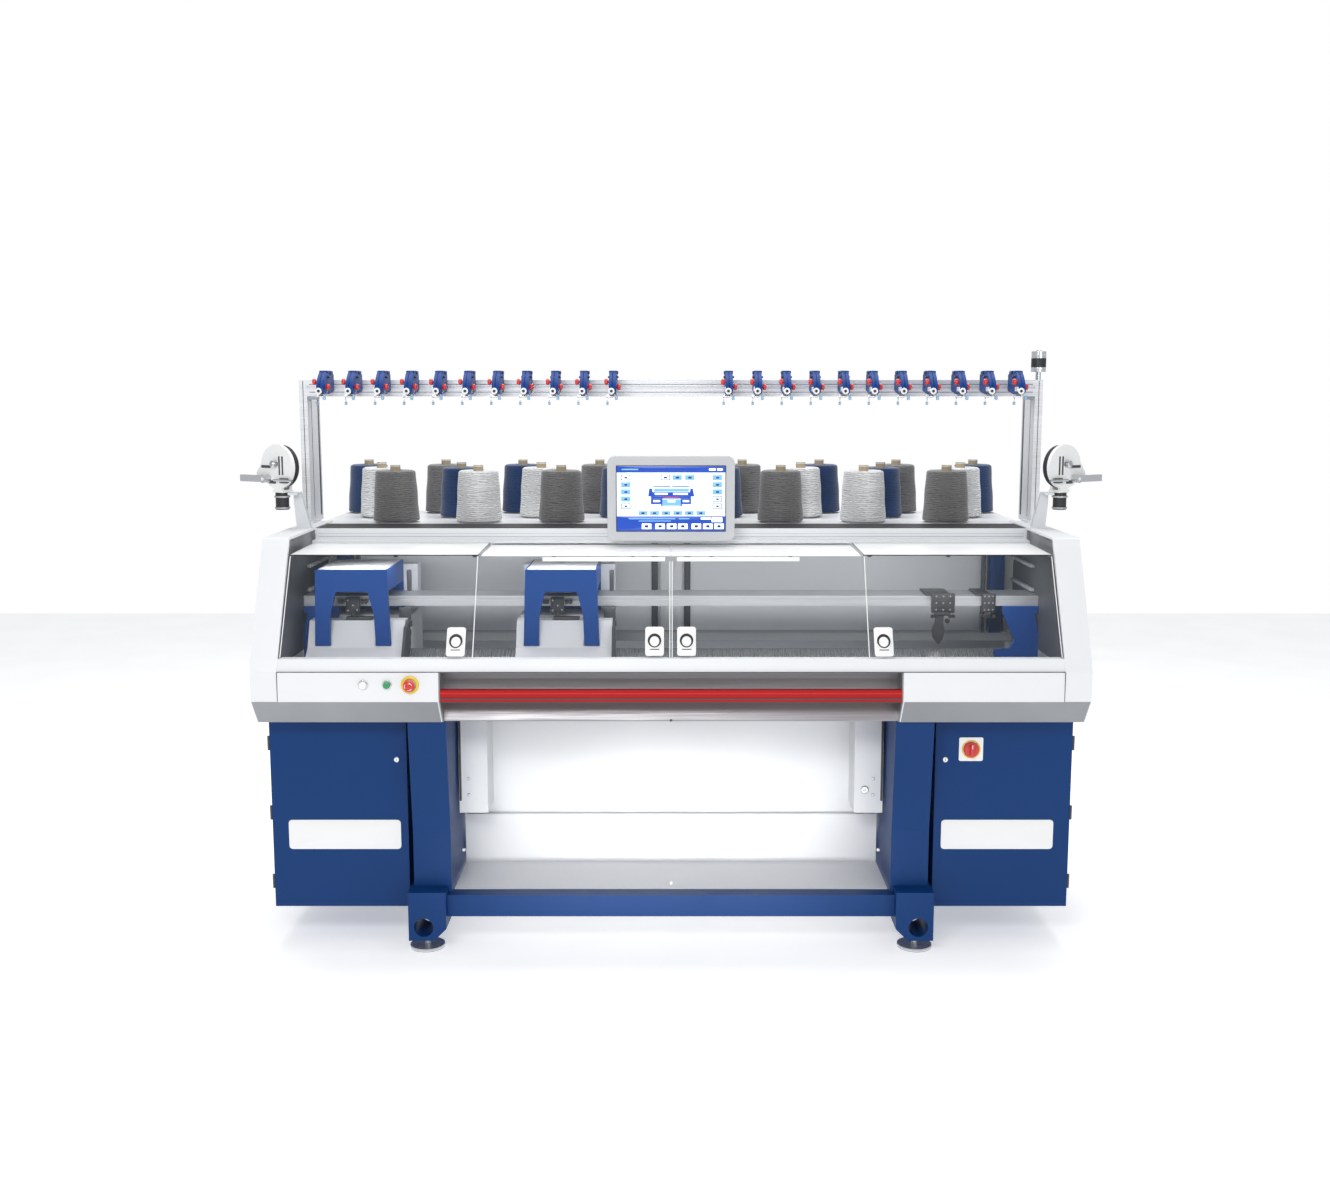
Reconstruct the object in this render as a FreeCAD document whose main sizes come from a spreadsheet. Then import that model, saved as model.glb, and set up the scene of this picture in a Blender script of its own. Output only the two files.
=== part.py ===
import os
import types

import FreeCAD, Part
import Sketcher

# Flat knitting machine, millimetres. +X is to the operator's right, +Y to the back and +Z up.
# Pieces are drawn with Y = 0 at the front face of the screen, and keep() then moves each one so
# that the origin is on the floor under the middle of the machine's width and depth.

DRIVING_SIZES = {
    # casing
    "cover_outer": 1396, "cover_inner": 1306, "cover_wall": 8, "cover_back": 400,
    "casing_top": 1430, "casing_bottom": 821, "lip_back": -400, "nose_front": -470,
    "nose_bottom": 905, "panel_top": 1005, "sheet": 6, "sill_top": 1046, "sill_front": -452,
    "sill_depth": 40, "shoulder_front": -268, "shoulder_height": 1400, "tray_half": 771,
    "tray_back": -362, "back_wall_front": 290, "back_wall_thick": 8,
    # base frame
    "column_inner": 763, "column_width": 130, "column_front": -330, "column_back": 100,
    "column_flare": 56, "flare_height": 420, "bed_bottom": 830, "foot_inner": 774,
    "foot_width": 130, "foot_front": -400, "foot_back": 520, "foot_bottom": 49,
    "foot_top": 221, "foot_block": 150, "foot_beam_bottom": 110, "beam_top": 199,
    "cross_beam_height": 77, "cross_beam_depth": 60, "upright_depth": 60,
    "lifting_hole": 33, "disc_radius": 60, "disc_height": 12, "stud_radius": 11,
    # cabinets
    "cabinet_inner": 914, "cabinet_outer": 1386, "cabinet_bottom": 137, "cabinet_back": 340,
    "cabinet_wall": 12, "door_front": -300, "door_thick": 18, "door_top": 812,
    "switch_height": 702, "switch_across": 1036, "switch_radius": 27, "switch_depth": 30,
    # bed, needle beds and rails
    "bed_middle": -100, "bed_top": 900, "beam_gap": 160, "bed_half_depth": 240,
    "needle_half": 1140, "needle_gap": 16, "needle_top": 1018, "needle_drop": 112,
    "needle_reach": 200, "needle_root": 60, "rail_half": 1290, "rail_width": 25,
    "rail_top": 960, "shelf_back": 260, "block_inner": 1150, "riser_top": 988,
    "riser_width": 24,
    # feeder beam and its brackets
    "beam_front": -100, "beam_back": 50, "beam_bottom": 1172, "beam_height": 36,
    "beam_half": 1306, "track_depth": 4, "track_height": 6,
    # carriages
    "carriage_park": 1101, "carriage_pitch": 722, "hood_width": 262, "hood_front": -240,
    "hood_back": 74, "hood_wall": 14, "hood_top": 1317, "hood_leg_bottom": 1053,
    "hood_skirt": 76, "hood_leg": 52, "hood_crown": 110, "cam_width": 332,
    "cam_shift": 8, "cam_top": 1135, "cam_slot": 70, "run_gap": 0.3,
    "rear_cover_top": 1300, "rear_cover_front": 76,
    # belt drive
    "pulley_across": 1272, "pulley_along": 200, "pulley_radius": 30, "pulley_bottom": 1000,
    "belt_width": 30, "belt_thick": 3, "motor_radius": 36, "motor_height": 95,
    "axle_radius": 8, "axle_gap": 0.05,
    # take-down rollers
    "roller_along": -118, "roller_lift": 2, "roller_radius": 30, "counter_radius": 18,
    "roller_half": 1100, "journal_radius": 9,
    # windows
    "pane_thick": 4, "pane_bottom_front": -446, "pane_bottom": 1046.5, "pane_knee_front": -262,
    "pane_knee": 1372, "pane_back": 100, "pane_rise": 6, "track_step": 12,
    # yarn table
    "table_half": 1345, "table_front": 120, "table_back": 950, "table_top": 1425,
    "table_thick": 30, "fascia_half": 1306, "fascia_bottom": 1388, "fascia_thick": 8,
    # cones
    "cone_base": 90, "cone_crown": 78, "cone_height": 193, "cone_pitch": 319, "row_front": 400,
    "row_pitch": 220, "row_shift": 96, "cone_gap": 13, "core_radius": 19, "core_wall": 2,
    "core_proud": 20, "core_foot": 3, "peg_radius": 14, "peg_foot": 70, "peg_foot_thick": 3,
    # creel
    "post_outer": 1392, "post_width": 30, "post_front": 290, "post_depth": 190,
    "bar_bottom": 1906, "bar_height": 61, "bar_depth": 30, "head_first": 212,
    "head_pitch": 106, "head_centre": 1957, "head_depth": 180, "head_half": 14, "arm_pivot_along": 150,
    "arm_pivot_height": 1908, "arm_length": 26, "arm_wire": 2, "arm_pin": 5,
    # lamp
    "lamp_radius": 27, "lamp_bottom": 1997, "lamp_height": 76, "lamp_stem": 10,
    # screen unit
    "screen_half": 228, "screen_bottom": 1393, "screen_height": 303, "screen_depth": 45,
    "screen_corner": 26, "screen_hinge_along": 78, "screen_hinge_height": 1540,
    "screen_barrel": 13, "screen_ear": 10, "mount_half": 28,
    # start bar
    "bar_front": -472, "bar_deep": 26, "bar_tall": 42, "bar_middle": 924, "bar_pin": 6,
    # push buttons
    "button_height": 963, "button_radius": 12, "button_proud": 10, "button_travel": 4,
    "collar_radius": 16.5, "stop_collar_radius": 30,
    "white_across": 1020, "green_across": 941, "stop_across": 865, "stop_radius": 20,
    "stop_proud": 28, "collar_depth": 8, "collar_seat": 1,
    # aprons
    "apron_half": 757, "apron_front": 10, "apron_split": 384, "apron_bottom": 199,
    "apron_lower_front": -12, "cheek_front": -150, "cheek_inner": 655, "cheek_bottom": 430,
    # side yarn feeders
    "wheel_outset": 28, "wheel_along": 60, "wheel_height": 1656, "wheel_radius": 80,
    "wheel_width": 26, "housing_thick": 14, "feeder_yaw": 32, "feeder_motor_radius": 24,
    "feeder_motor_height": 62,
}

doc = FreeCAD.newDocument("flat_knitting_machine")
sheet = doc.addObject("Spreadsheet::Sheet", "dims")


class Size:
    """A length with its value and the sheet formula that it follows."""

    def __init__(self, value, formula):
        self.value = value
        self.formula = formula

    def __add__(self, other):
        return Size(self.value + number(other), f"({self.formula} + {formula(other)})")

    def __sub__(self, other):
        return Size(self.value - number(other), f"({self.formula} - {formula(other)})")

    def __mul__(self, other):
        return Size(self.value * number(other), f"({self.formula} * {formula(other)})")

    def __truediv__(self, other):
        return Size(self.value / number(other), f"({self.formula} / {formula(other)})")

    def __rsub__(self, other):
        return Size(number(other) - self.value, f"({formula(other)} - {self.formula})")

    def __neg__(self):
        return Size(-self.value, f"(0 - {self.formula})")

    __radd__ = __add__
    __rmul__ = __mul__


def number(amount):
    return amount.value if isinstance(amount, Size) else float(amount)


def formula(amount):
    return amount.formula if isinstance(amount, Size) else f"({float(amount):.6f})"


def fill_sheet():
    """Writes each driving size to the sheet and hands back the sizes by name."""
    sizes = {}
    for row, (alias, value) in enumerate(DRIVING_SIZES.items(), start=1):
        sheet.set(f"A{row}", alias)
        sheet.set(f"B{row}", str(value))
        sheet.setAlias(f"B{row}", alias)
        sizes[alias] = Size(value, f"dims.{alias}")
    doc.recompute()
    return types.SimpleNamespace(**sizes)


d = fill_sheet()
# Places that follow other sizes.
d.roller_height = d.bed_bottom + d.roller_radius + d.roller_lift
d.cone_first = d.cone_base + d.cone_gap
d.wheel_across = d.cover_outer + d.wheel_outset
pieces = []


def bind(thing, prop, amount):
    thing.setExpression(prop, formula(amount))


def place(thing, x=0, y=0, z=0):
    for axis, amount in zip("xyz", (x, y, z)):
        bind(thing, f".Placement.Base.{axis}", amount)
    return thing


def keep(name, thing):
    """Gives a finished sub-part its name and its place over the origin, to be written."""
    whole = group(f"{name}_placed", [thing])
    whole.Label = name
    front = d.nose_front + d.collar_seat - d.stop_proud - d.collar_depth
    place(whole, y=-(d.table_back + front) / 2)
    pieces.append(whole)
    return thing


def block(name, low, high):
    """A box between two corners."""
    box = doc.addObject("Part::Box", name)
    for prop, a, b in zip(("Length", "Width", "Height"), low, high):
        bind(box, prop, b - a)
    return place(box, *low)


AXIS_TURNS = {
    "x": FreeCAD.Rotation(FreeCAD.Vector(0, 1, 0), 90),
    "y": FreeCAD.Rotation(FreeCAD.Vector(1, 0, 0), -90),
    "z": FreeCAD.Rotation(),
}


def rod(name, axis, start, radius, length, top_radius=None):
    """A cylinder, or a cone with top_radius, from its start point along +axis."""
    kind = "Part::Cylinder" if top_radius is None else "Part::Cone"
    thing = doc.addObject(kind, name)
    if top_radius is None:
        bind(thing, "Radius", radius)
    else:
        bind(thing, "Radius1", radius)
        bind(thing, "Radius2", top_radius)
    bind(thing, "Height", length)
    thing.Placement = FreeCAD.Placement(FreeCAD.Vector(), AXIS_TURNS[axis])
    return place(thing, *start)


def fuse(name, *things):
    whole = doc.addObject("Part::MultiFuse", name)
    whole.Shapes = list(things)
    whole.Refine = True
    return whole


def cut(name, base, *tools):
    whole = doc.addObject("Part::Cut", name)
    whole.Base = base
    whole.Tool = tools[0] if len(tools) == 1 else fuse(f"{name}_tools", *tools)
    whole.Refine = True
    return whole


def group(name, things):
    whole = doc.addObject("Part::Compound", name)
    whole.Links = list(things)
    return whole


def mirrored(name, thing):
    """The same piece on the other side of the machine's middle plane."""
    other = doc.addObject("Part::Mirroring", name)
    other.Source = thing
    other.Normal = FreeCAD.Vector(1, 0, 0)
    return other


def pair(name, thing):
    return group(name, [thing, mirrored(f"{name}_mirror", thing)])


def copies(name, thing, places):
    """Repeats of one piece, each a link shifted by its place."""
    links = []
    for index, shift in enumerate(places):
        link = doc.addObject("App::Link", f"{name}_copy_{index}")
        link.LinkedObject = thing
        place(link, *shift)
        links.append(link)
    return group(name, links)


def draw_loop(sketch, points):
    """A closed loop of straight sides whose corners follow the sheet."""
    first = sketch.GeometryCount
    spots = [FreeCAD.Vector(number(a), number(b), 0) for a, b in points]
    for a, b in zip(spots, spots[1:] + spots[:1]):
        sketch.addGeometry(Part.LineSegment(a, b), False)
    for index in range(len(points)):
        after = first + (index + 1) % len(points)
        sketch.addConstraint(Sketcher.Constraint("Coincident", first + index, 2, after, 1))
    for index, (a, b) in enumerate(points):
        for kind, amount in (("DistanceX", a), ("DistanceY", b)):
            rule = Sketcher.Constraint(kind, -1, 1, first + index, 1, number(amount))
            spot = sketch.addConstraint(rule)
            bind(sketch, f"Constraints[{spot}]", amount)


def draw_circle(sketch, centre, radius):
    spot = FreeCAD.Vector(number(centre[0]), number(centre[1]), 0)
    circle = Part.Circle(spot, FreeCAD.Vector(0, 0, 1), number(radius))
    ring = sketch.addGeometry(circle, False)
    for kind, amount in (("DistanceX", centre[0]), ("DistanceY", centre[1])):
        spot = sketch.addConstraint(Sketcher.Constraint(kind, -1, 1, ring, 3, number(amount)))
        bind(sketch, f"Constraints[{spot}]", amount)
    spot = sketch.addConstraint(Sketcher.Constraint("Radius", ring, number(radius)))
    bind(sketch, f"Constraints[{spot}]", radius)


def prism(name, plane, outline, start, length, circles=(), fillet=None):
    """A body padded from a sketch on one of its own planes.

    plane is YZ_Plane (pad towards +X), XZ_Plane (towards -Y) or XY_Plane (towards +Z).
    fillet is (radius, test), where test picks the outline's corners to round.
    """
    body = doc.addObject("PartDesign::Body", name)
    planes = {feature.Role: feature for feature in body.Origin.OriginFeatures}
    sketch = body.newObject("Sketcher::SketchObject", f"{name}_sketch")
    sketch.AttachmentSupport = [(planes[plane], "")]
    sketch.MapMode = "FlatFace"
    bind(sketch, ".AttachmentOffset.Base.z", start)
    if outline:
        draw_loop(sketch, outline)
    for centre, radius in circles:
        draw_circle(sketch, centre, radius)
    pad = body.newObject("PartDesign::Pad", f"{name}_pad")
    pad.Profile = sketch
    bind(pad, "Length", length)
    sketch.Visibility = False
    if fillet:
        doc.recompute()
        radius, test = fillet
        along = {"YZ_Plane": 0, "XZ_Plane": 1, "XY_Plane": 2}[plane]
        names = []
        for index, edge in enumerate(pad.Shape.Edges, start=1):
            a, b = edge.Vertexes[0].Point, edge.Vertexes[-1].Point
            runs = abs(b[along] - a[along]) > 0.9 * edge.Length and len(edge.Vertexes) == 2
            if runs and test(a):
                names.append(f"Edge{index}")
        rounded = body.newObject("PartDesign::Fillet", f"{name}_fillet")
        rounded.Base = (pad, names)
        bind(rounded, "Radius", radius)
        body.Tip = rounded
    return body


def side_prism(name, outline, start, length, **extra):
    """Outline of (y, z) points, padded towards +X from start."""
    return prism(name, "YZ_Plane", outline, start, length, **extra)


def front_prism(name, outline, front, depth, **extra):
    """Outline of (x, z) points, with its front face at y = front."""
    back = Size(number(front) + number(depth), f"({formula(front)} + {formula(depth)})")
    return prism(name, "XZ_Plane", outline, -back, depth, **extra)


def top_prism(name, outline, start, height, **extra):
    """Outline of (x, y) points, padded up from start."""
    return prism(name, "XY_Plane", outline, start, height, **extra)


def base_frame():
    """Welded frame: two flared columns on long feet, joined by cross beams, and rear uprights."""
    outer = d.column_inner + d.column_width
    profile = [
        (d.column_front, d.beam_top),
        (d.column_front, d.flare_height),
        (d.column_front - d.column_flare, d.bed_bottom),
        (d.column_back, d.bed_bottom),
        (d.column_back, d.beam_top),
    ]
    column = side_prism("column", profile, d.column_inner, d.column_width)
    profile = [
        (d.foot_front, d.foot_bottom),
        (d.foot_front, d.foot_top),
        (d.foot_front + d.foot_block, d.foot_top),
        (d.foot_front + d.foot_block, d.beam_top),
        (d.foot_back, d.beam_top),
        (d.foot_back, d.foot_bottom),
        (d.foot_back - d.foot_block, d.foot_bottom),
        (d.foot_back - d.foot_block, d.foot_beam_bottom),
        (d.foot_front + d.foot_block, d.foot_beam_bottom),
        (d.foot_front + d.foot_block, d.foot_bottom),
    ]
    foot = side_prism("foot", profile, d.foot_inner, d.foot_width)
    hole_across = d.foot_inner + d.foot_width * 0.6
    hole_height = d.foot_bottom + d.lifting_hole + 14
    hole = rod("lifting_hole", "y", (hole_across, d.foot_front, hole_height),
               d.lifting_hole, d.foot_block)
    bevel = front_prism("foot_bevel", [
        (d.foot_inner, d.foot_bottom),
        (d.foot_inner + 42, d.foot_bottom),
        (d.foot_inner, d.foot_bottom + 42),
    ], d.foot_front, d.foot_block)
    foot = cut("bored_foot", foot, hole, bevel)
    behind = d.back_wall_front + d.back_wall_thick
    upright = block("upright", (d.column_inner + 20, behind, d.beam_top - 1),
                    (outer, behind + d.upright_depth, d.table_top - d.table_thick))
    side = fuse("frame_side", column, foot, upright)
    beams = []
    cross_bottom = d.beam_top - d.cross_beam_height
    for name, front in (("front", d.foot_front + 40), ("rear", d.foot_back - d.foot_block - 60)):
        beams.append(block(f"{name}_cross_beam", (-outer + 20, front, cross_bottom),
                           (outer - 20, front + d.cross_beam_depth, d.beam_top)))
    keep("base_frame", fuse("welded_frame", side, mirrored("frame_side_mirror", side), *beams))


def levelling_feet():
    """Four discs on threaded studs, under the ends of the feet."""
    across = d.foot_inner + d.foot_width * 0.6
    spots = []
    for side in (-1, 1):
        for along in (d.foot_front + d.foot_block / 2, d.foot_back - d.foot_block / 2):
            spots.append((across * side, along, 0))
    disc = rod("foot_disc", "z", (0, 0, 0), d.disc_radius, d.disc_height)
    stud = rod("foot_stud", "z", (0, 0, d.disc_height), d.stud_radius,
               d.foot_bottom - d.disc_height)
    keep("levelling_feet", copies("feet", fuse("levelling_foot", disc, stud), spots))


def cabinets():
    """Two open-fronted steel cabinets hung beside the columns, each with a hinged door."""
    back_of_door = d.door_front + d.door_thick
    front = back_of_door + 0.5
    shell = block("cabinet_box", (d.cabinet_inner, front, d.cabinet_bottom),
                  (d.cabinet_outer, d.cabinet_back, d.casing_bottom))
    room = block("cabinet_room",
                 (d.cabinet_inner + d.cabinet_wall, front - 1, d.cabinet_bottom + d.cabinet_wall),
                 (d.cabinet_outer - d.cabinet_wall, d.cabinet_back - d.cabinet_wall,
                  d.casing_bottom - d.cabinet_wall))
    keep("cabinet_shells", pair("cabinet_pair", cut("cabinet_shell", shell, room)))
    door = block("right_door_sheet", (d.cabinet_inner, d.door_front, d.cabinet_bottom),
                 (d.cabinet_outer, back_of_door, d.door_top))
    keep("cabinet_door_right", door)
    keep("cabinet_door_left", mirrored("left_door_sheet", door))
    spot = (d.switch_across, d.door_front - d.switch_depth, d.switch_height)
    knob = rod("switch_grip", "y", spot,
               d.switch_radius, d.switch_depth - 0.3)
    keep("switch_knob", knob)


def bed():
    """Cast bed: two long beams on end blocks, with a gap down the middle for the fabric."""
    gap = d.beam_gap / 2
    front = d.bed_middle - d.bed_half_depth
    front_beam = block("front_bed_beam", (-d.cover_inner, front, d.bed_bottom),
                       (d.cover_inner, d.bed_middle - gap, d.bed_top))
    rear_beam = block("rear_bed_beam", (-d.cover_inner, d.bed_middle + gap, d.bed_bottom),
                      (d.cover_inner, d.bed_middle + d.bed_half_depth, d.bed_top))
    end = block("end_block", (d.block_inner, d.bed_middle - d.bed_half_depth, d.bed_bottom),
                (d.cover_inner, d.shelf_back, d.bed_top))
    half = d.riser_width / 2
    riser = block("riser", (d.block_inner, d.bed_middle - half, d.bed_top - 1),
                  (d.cover_inner, d.bed_middle + half, d.riser_top))
    axle = rod("idler_axle", "z", (d.pulley_across, d.pulley_along, d.bed_top - 1), d.axle_radius,
               d.pulley_bottom + d.belt_width - d.bed_top + 6)
    collar = rod("idler_collar", "z", (d.pulley_across, d.pulley_along, d.bed_top - 1),
                 d.axle_radius * 2, d.pulley_bottom - d.bed_top + 0.7)
    bores = []
    counter_along = d.roller_along + d.roller_radius + d.run_gap + d.counter_radius
    for name, along in (("main", d.roller_along), ("counter", counter_along)):
        bores.append(rod(f"{name}_journal_bore", "x", (-d.cover_inner, along, d.roller_height),
                         d.journal_radius + d.axle_gap, d.cover_inner * 2))
    whole = fuse("bed_blank", front_beam, rear_beam, end, mirrored("end_block_mirror", end),
                 riser, mirrored("riser_mirror", riser), axle, collar)
    keep("bed_casting", cut("bored_bed", whole, *bores))
    rear = d.bed_middle * 2
    slope = [
        (d.bed_middle - d.needle_gap / 2, d.needle_top),
        (d.bed_middle - d.needle_reach, d.needle_top - d.needle_drop),
        (d.bed_middle - d.needle_reach, d.bed_top),
        (d.bed_middle - d.beam_gap / 2, d.bed_top),
        (d.bed_middle - d.needle_gap / 2, d.needle_top - d.needle_root),
    ]
    length = d.needle_half * 2
    beds = [side_prism("front_needles", slope, -d.needle_half, length)]
    slope = [(rear - along, height) for along, height in slope]
    beds.append(side_prism("rear_needles", slope, -d.needle_half, length))
    keep("needle_beds", group("needle_bed_pair", beds))
    front = d.bed_middle - d.bed_half_depth
    back = d.bed_middle + d.bed_half_depth
    rails = [block("front_rail", (-d.rail_half, front, d.bed_top),
                   (d.rail_half, front + d.rail_width, d.rail_top)),
             block("rear_rail", (-d.rail_half, back - d.rail_width, d.bed_top),
                   (d.rail_half, back, d.rail_top))]
    keep("carriage_rails", group("rail_pair", rails))


def take_down():
    """The main take-down roller and the counter roller that turns against it."""
    counter_along = d.roller_along + d.roller_radius + d.run_gap + d.counter_radius
    for name, along, radius in (("take_down_roller", d.roller_along, d.roller_radius),
                                ("counter_roller", counter_along, d.counter_radius)):
        drum = rod(f"{name}_drum", "x", (-d.roller_half, along, d.roller_height), radius,
                   d.roller_half * 2)
        shaft = rod(f"{name}_shaft", "x", (-d.cover_inner + 20, along, d.roller_height),
                    d.journal_radius, d.cover_inner * 2 - 40)
        keep(name, fuse(f"{name}_turned", drum, shaft))


def belt_drive():
    """Motor, toothed drive pulley, idler and the flat loop of belt behind the carriages."""
    at = (d.pulley_across, d.pulley_along)
    rise = d.bed_top
    bottom = d.pulley_bottom
    bore = rod("motor_bore", "z", (-at[0], at[1], rise + d.motor_height - 20),
               d.axle_radius + d.axle_gap, 30)
    body = rod("motor_body", "z", (-at[0], at[1], rise), d.motor_radius, d.motor_height)
    keep("drive_motor", cut("bored_motor", body, bore))
    wheel = rod("drive_wheel", "z", (-at[0], at[1], bottom), d.pulley_radius, d.belt_width)
    shaft = rod("drive_shaft", "z", (-at[0], at[1], rise + d.motor_height - 19), d.axle_radius,
                bottom - rise - d.motor_height + 20)
    keep("drive_pulley", fuse("drive_pulley_turned", wheel, shaft))
    wheel = rod("idler_wheel", "z", (at[0], at[1], bottom), d.pulley_radius, d.belt_width)
    bore = rod("idler_bore", "z", (at[0], at[1], bottom - 1), d.axle_radius + d.axle_gap,
               d.belt_width + 2)
    keep("idler_pulley", cut("idler_pulley_turned", wheel, bore))
    loops = []
    for name, radius in (("outer", d.pulley_radius + d.run_gap + d.belt_thick),
                         ("inner", d.pulley_radius + d.run_gap)):
        straight = block(f"{name}_straight", (-at[0], at[1] - radius, bottom),
                         (at[0], at[1] + radius, bottom + d.belt_width))
        ends = [rod(f"{name}_turn_{side}", "z", (at[0] * side, at[1], bottom), radius, d.belt_width)
                for side in (-1, 1)]
        loops.append(fuse(f"{name}_loop", straight, *ends))
    keep("drive_belt", cut("belt_loop", *loops))


def casing():
    """End covers, front panels, sill, fabric tray, back wall and the window tracks."""
    outline = [
        (d.lip_back, d.casing_bottom),
        (d.nose_front, d.nose_bottom),
        (d.nose_front + 2, d.panel_top),
        (d.sill_front, d.sill_top),
        (d.shoulder_front, d.shoulder_height),
        (d.shoulder_front + 18, d.casing_top),
        (d.cover_back, d.casing_top),
        (d.cover_back, d.casing_bottom),
    ]
    shell = side_prism("cover_shell", outline, d.cover_inner, d.cover_outer - d.cover_inner,
                       fillet=(10, lambda at: at.y < 0 and at.z > d.panel_top.value - 120))
    wall = d.cover_wall
    room_outline = [
        (d.lip_back + wall, d.casing_bottom + wall),
        (d.nose_front + wall * 1.4, d.nose_bottom),
        (d.nose_front + 2 + wall * 1.4, d.panel_top),
        (d.sill_front + wall * 1.4, d.sill_top),
        (d.shoulder_front + wall * 1.6, d.shoulder_height - wall),
        (d.shoulder_front + 18 + wall, d.casing_top - wall),
        (d.cover_back - wall, d.casing_top - wall),
        (d.cover_back - wall, d.casing_bottom + wall),
    ]
    room = side_prism("cover_room", room_outline, d.cover_inner - 1,
                      d.cover_outer - d.cover_inner - wall + 1)
    keep("end_covers", pair("cover_pair", cut("end_cover", shell, room)))
    outline = [
        (d.lip_back, d.casing_bottom),
        (d.nose_front, d.nose_bottom),
        (d.nose_front + 2, d.panel_top),
        (d.nose_front + 2 + d.sheet, d.panel_top),
        (d.nose_front + d.sheet, d.nose_bottom),
        (d.lip_back + d.sheet, d.casing_bottom),
    ]
    width = d.cover_inner - d.tray_half
    panel = side_prism("front_panel", outline, d.tray_half, width)
    keep("front_panels", pair("panel_pair", panel))
    outline = [
        (d.sill_front - 11, d.panel_top),
        (d.sill_front, d.sill_top),
        (d.sill_front + d.sill_depth, d.sill_top),
        (d.sill_front + d.sill_depth, d.panel_top),
    ]
    keep("front_sill", side_prism("sill", outline, -d.cover_inner, d.cover_inner * 2))
    top = d.panel_top
    outline = [
        (d.nose_front + 14, top),
        (d.nose_front + 14, top - 4),
        (d.tray_back - 32, top - 4),
        (d.tray_back, top - 42),
        (d.tray_back, d.bed_bottom + 74),
        (d.lip_back + 6, d.casing_bottom + 6),
        (d.lip_back + 6, d.casing_bottom + 2),
        (d.tray_back + 4, d.bed_bottom + 70),
        (d.tray_back + 4, top),
    ]
    trough = side_prism("trough", outline, -d.tray_half, d.tray_half * 2)
    cheek_outline = [
        (d.lip_back, d.casing_bottom),
        (d.nose_front + 4, d.nose_bottom),
        (d.nose_front + 6, top),
        (d.tray_back + 4, top),
        (d.tray_back + 4, d.bed_bottom + 70),
    ]
    cheek = side_prism("tray_cheek", cheek_outline, d.tray_half - 4, 4)
    pins = rod("bar_pins", "x", (-d.tray_half, d.bar_front + d.bar_deep / 2, d.bar_middle),
               d.bar_pin + d.axle_gap, d.tray_half * 2)
    tray = fuse("tray_blank", trough, cheek, mirrored("tray_cheek_mirror", cheek))
    keep("fabric_tray", cut("bored_tray", tray, pins))
    keep("back_wall", block("rear_sheet", (-d.cover_inner, d.back_wall_front, d.bed_bottom),
                            (d.cover_inner, d.back_wall_front + d.back_wall_thick,
                             d.table_top - d.table_thick)))


def start_bar():
    """Red bar across the tray that starts and stops the machine, on pins in the tray's cheeks."""
    middle = d.bar_front + d.bar_deep / 2
    low = d.bar_middle - d.bar_tall / 2
    reach = d.tray_half - 4.5
    bar = block("bar_body", (-reach, d.bar_front, low),
                (reach, d.bar_front + d.bar_deep, low + d.bar_tall))
    groove = block("bar_groove", (-reach, d.bar_front, low + 13),
                   (reach, d.bar_front + 4, low + 17))
    pin = rod("bar_pin_rod", "x", (-d.tray_half + 0.5, middle, d.bar_middle), d.bar_pin,
              d.tray_half * 2 - 1)
    keep("start_bar", fuse("start_bar_whole", cut("grooved_bar", bar, groove), pin))


def buttons():
    """White and green push buttons and the emergency stop, each on a stem in the left panel."""
    face = d.nose_front + d.collar_seat
    for name, across, radius, proud in (
            ("white_button", d.white_across, d.button_radius, d.button_proud),
            ("green_button", d.green_across, d.button_radius, d.button_proud),
            ("emergency_stop", d.stop_across, d.stop_radius, d.stop_proud)):
        # The cap's back end lies in its collar's bore, with room behind it to be pushed in.
        spot = (-across, face - proud - d.collar_depth, d.button_height)
        keep(name, rod(f"{name}_cap", "y", spot, radius, proud + d.button_travel))
    collars = []
    for name, across, radius, bore in (
            ("white", d.white_across, d.collar_radius, d.button_radius),
            ("green", d.green_across, d.collar_radius, d.button_radius),
            ("stop", d.stop_across, d.stop_collar_radius, d.stop_radius)):
        spot = (-across, face - d.collar_depth + 0.5, d.button_height)
        ring = rod(f"{name}_collar", "y", spot, radius, 6.9)
        hole = rod(f"{name}_collar_bore", "y", spot, bore + d.axle_gap, d.collar_depth)
        collars.append(cut(f"{name}_collar_ring", ring, hole))
    keep("button_collars", group("collar_group", collars))


def feeder_beam():
    """Flat aluminium beam over the needle beds, grooved as carrier tracks, on two brackets."""
    low = d.beam_bottom
    beam = block("beam_bar", (-d.beam_half, d.beam_front, low),
                 (d.beam_half, d.beam_back, low + d.beam_height))
    tracks = []
    for name, side in (("front_track", d.beam_front), ("rear_track", d.beam_back - d.track_depth)):
        height = low + d.beam_height * 0.6
        tracks.append(block(name, (-d.beam_half, side, height),
                            (d.beam_half, side + d.track_depth, height + d.track_height)))
    keep("feeder_beam", cut("grooved_beam", beam, *tracks))
    foot = d.riser_top
    out = d.cover_inner
    outline = [
        (d.block_inner, foot),
        (d.block_inner, foot + 26),
        (out - 100, foot + 30),
        (out - 86, foot + 60),
        (out - 130, low - 24),
        (out - 130, low),
        (out - 6, low),
        (out - 6, low - 24),
        (out - 18, low - 24),
        (out - 2, foot + 80),
        (out - 2, foot),
    ]
    half = d.riser_width / 2
    bracket = front_prism("beam_bracket", outline, d.bed_middle - half, d.riser_width)
    keep("beam_brackets", pair("bracket_pair", bracket))


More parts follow.
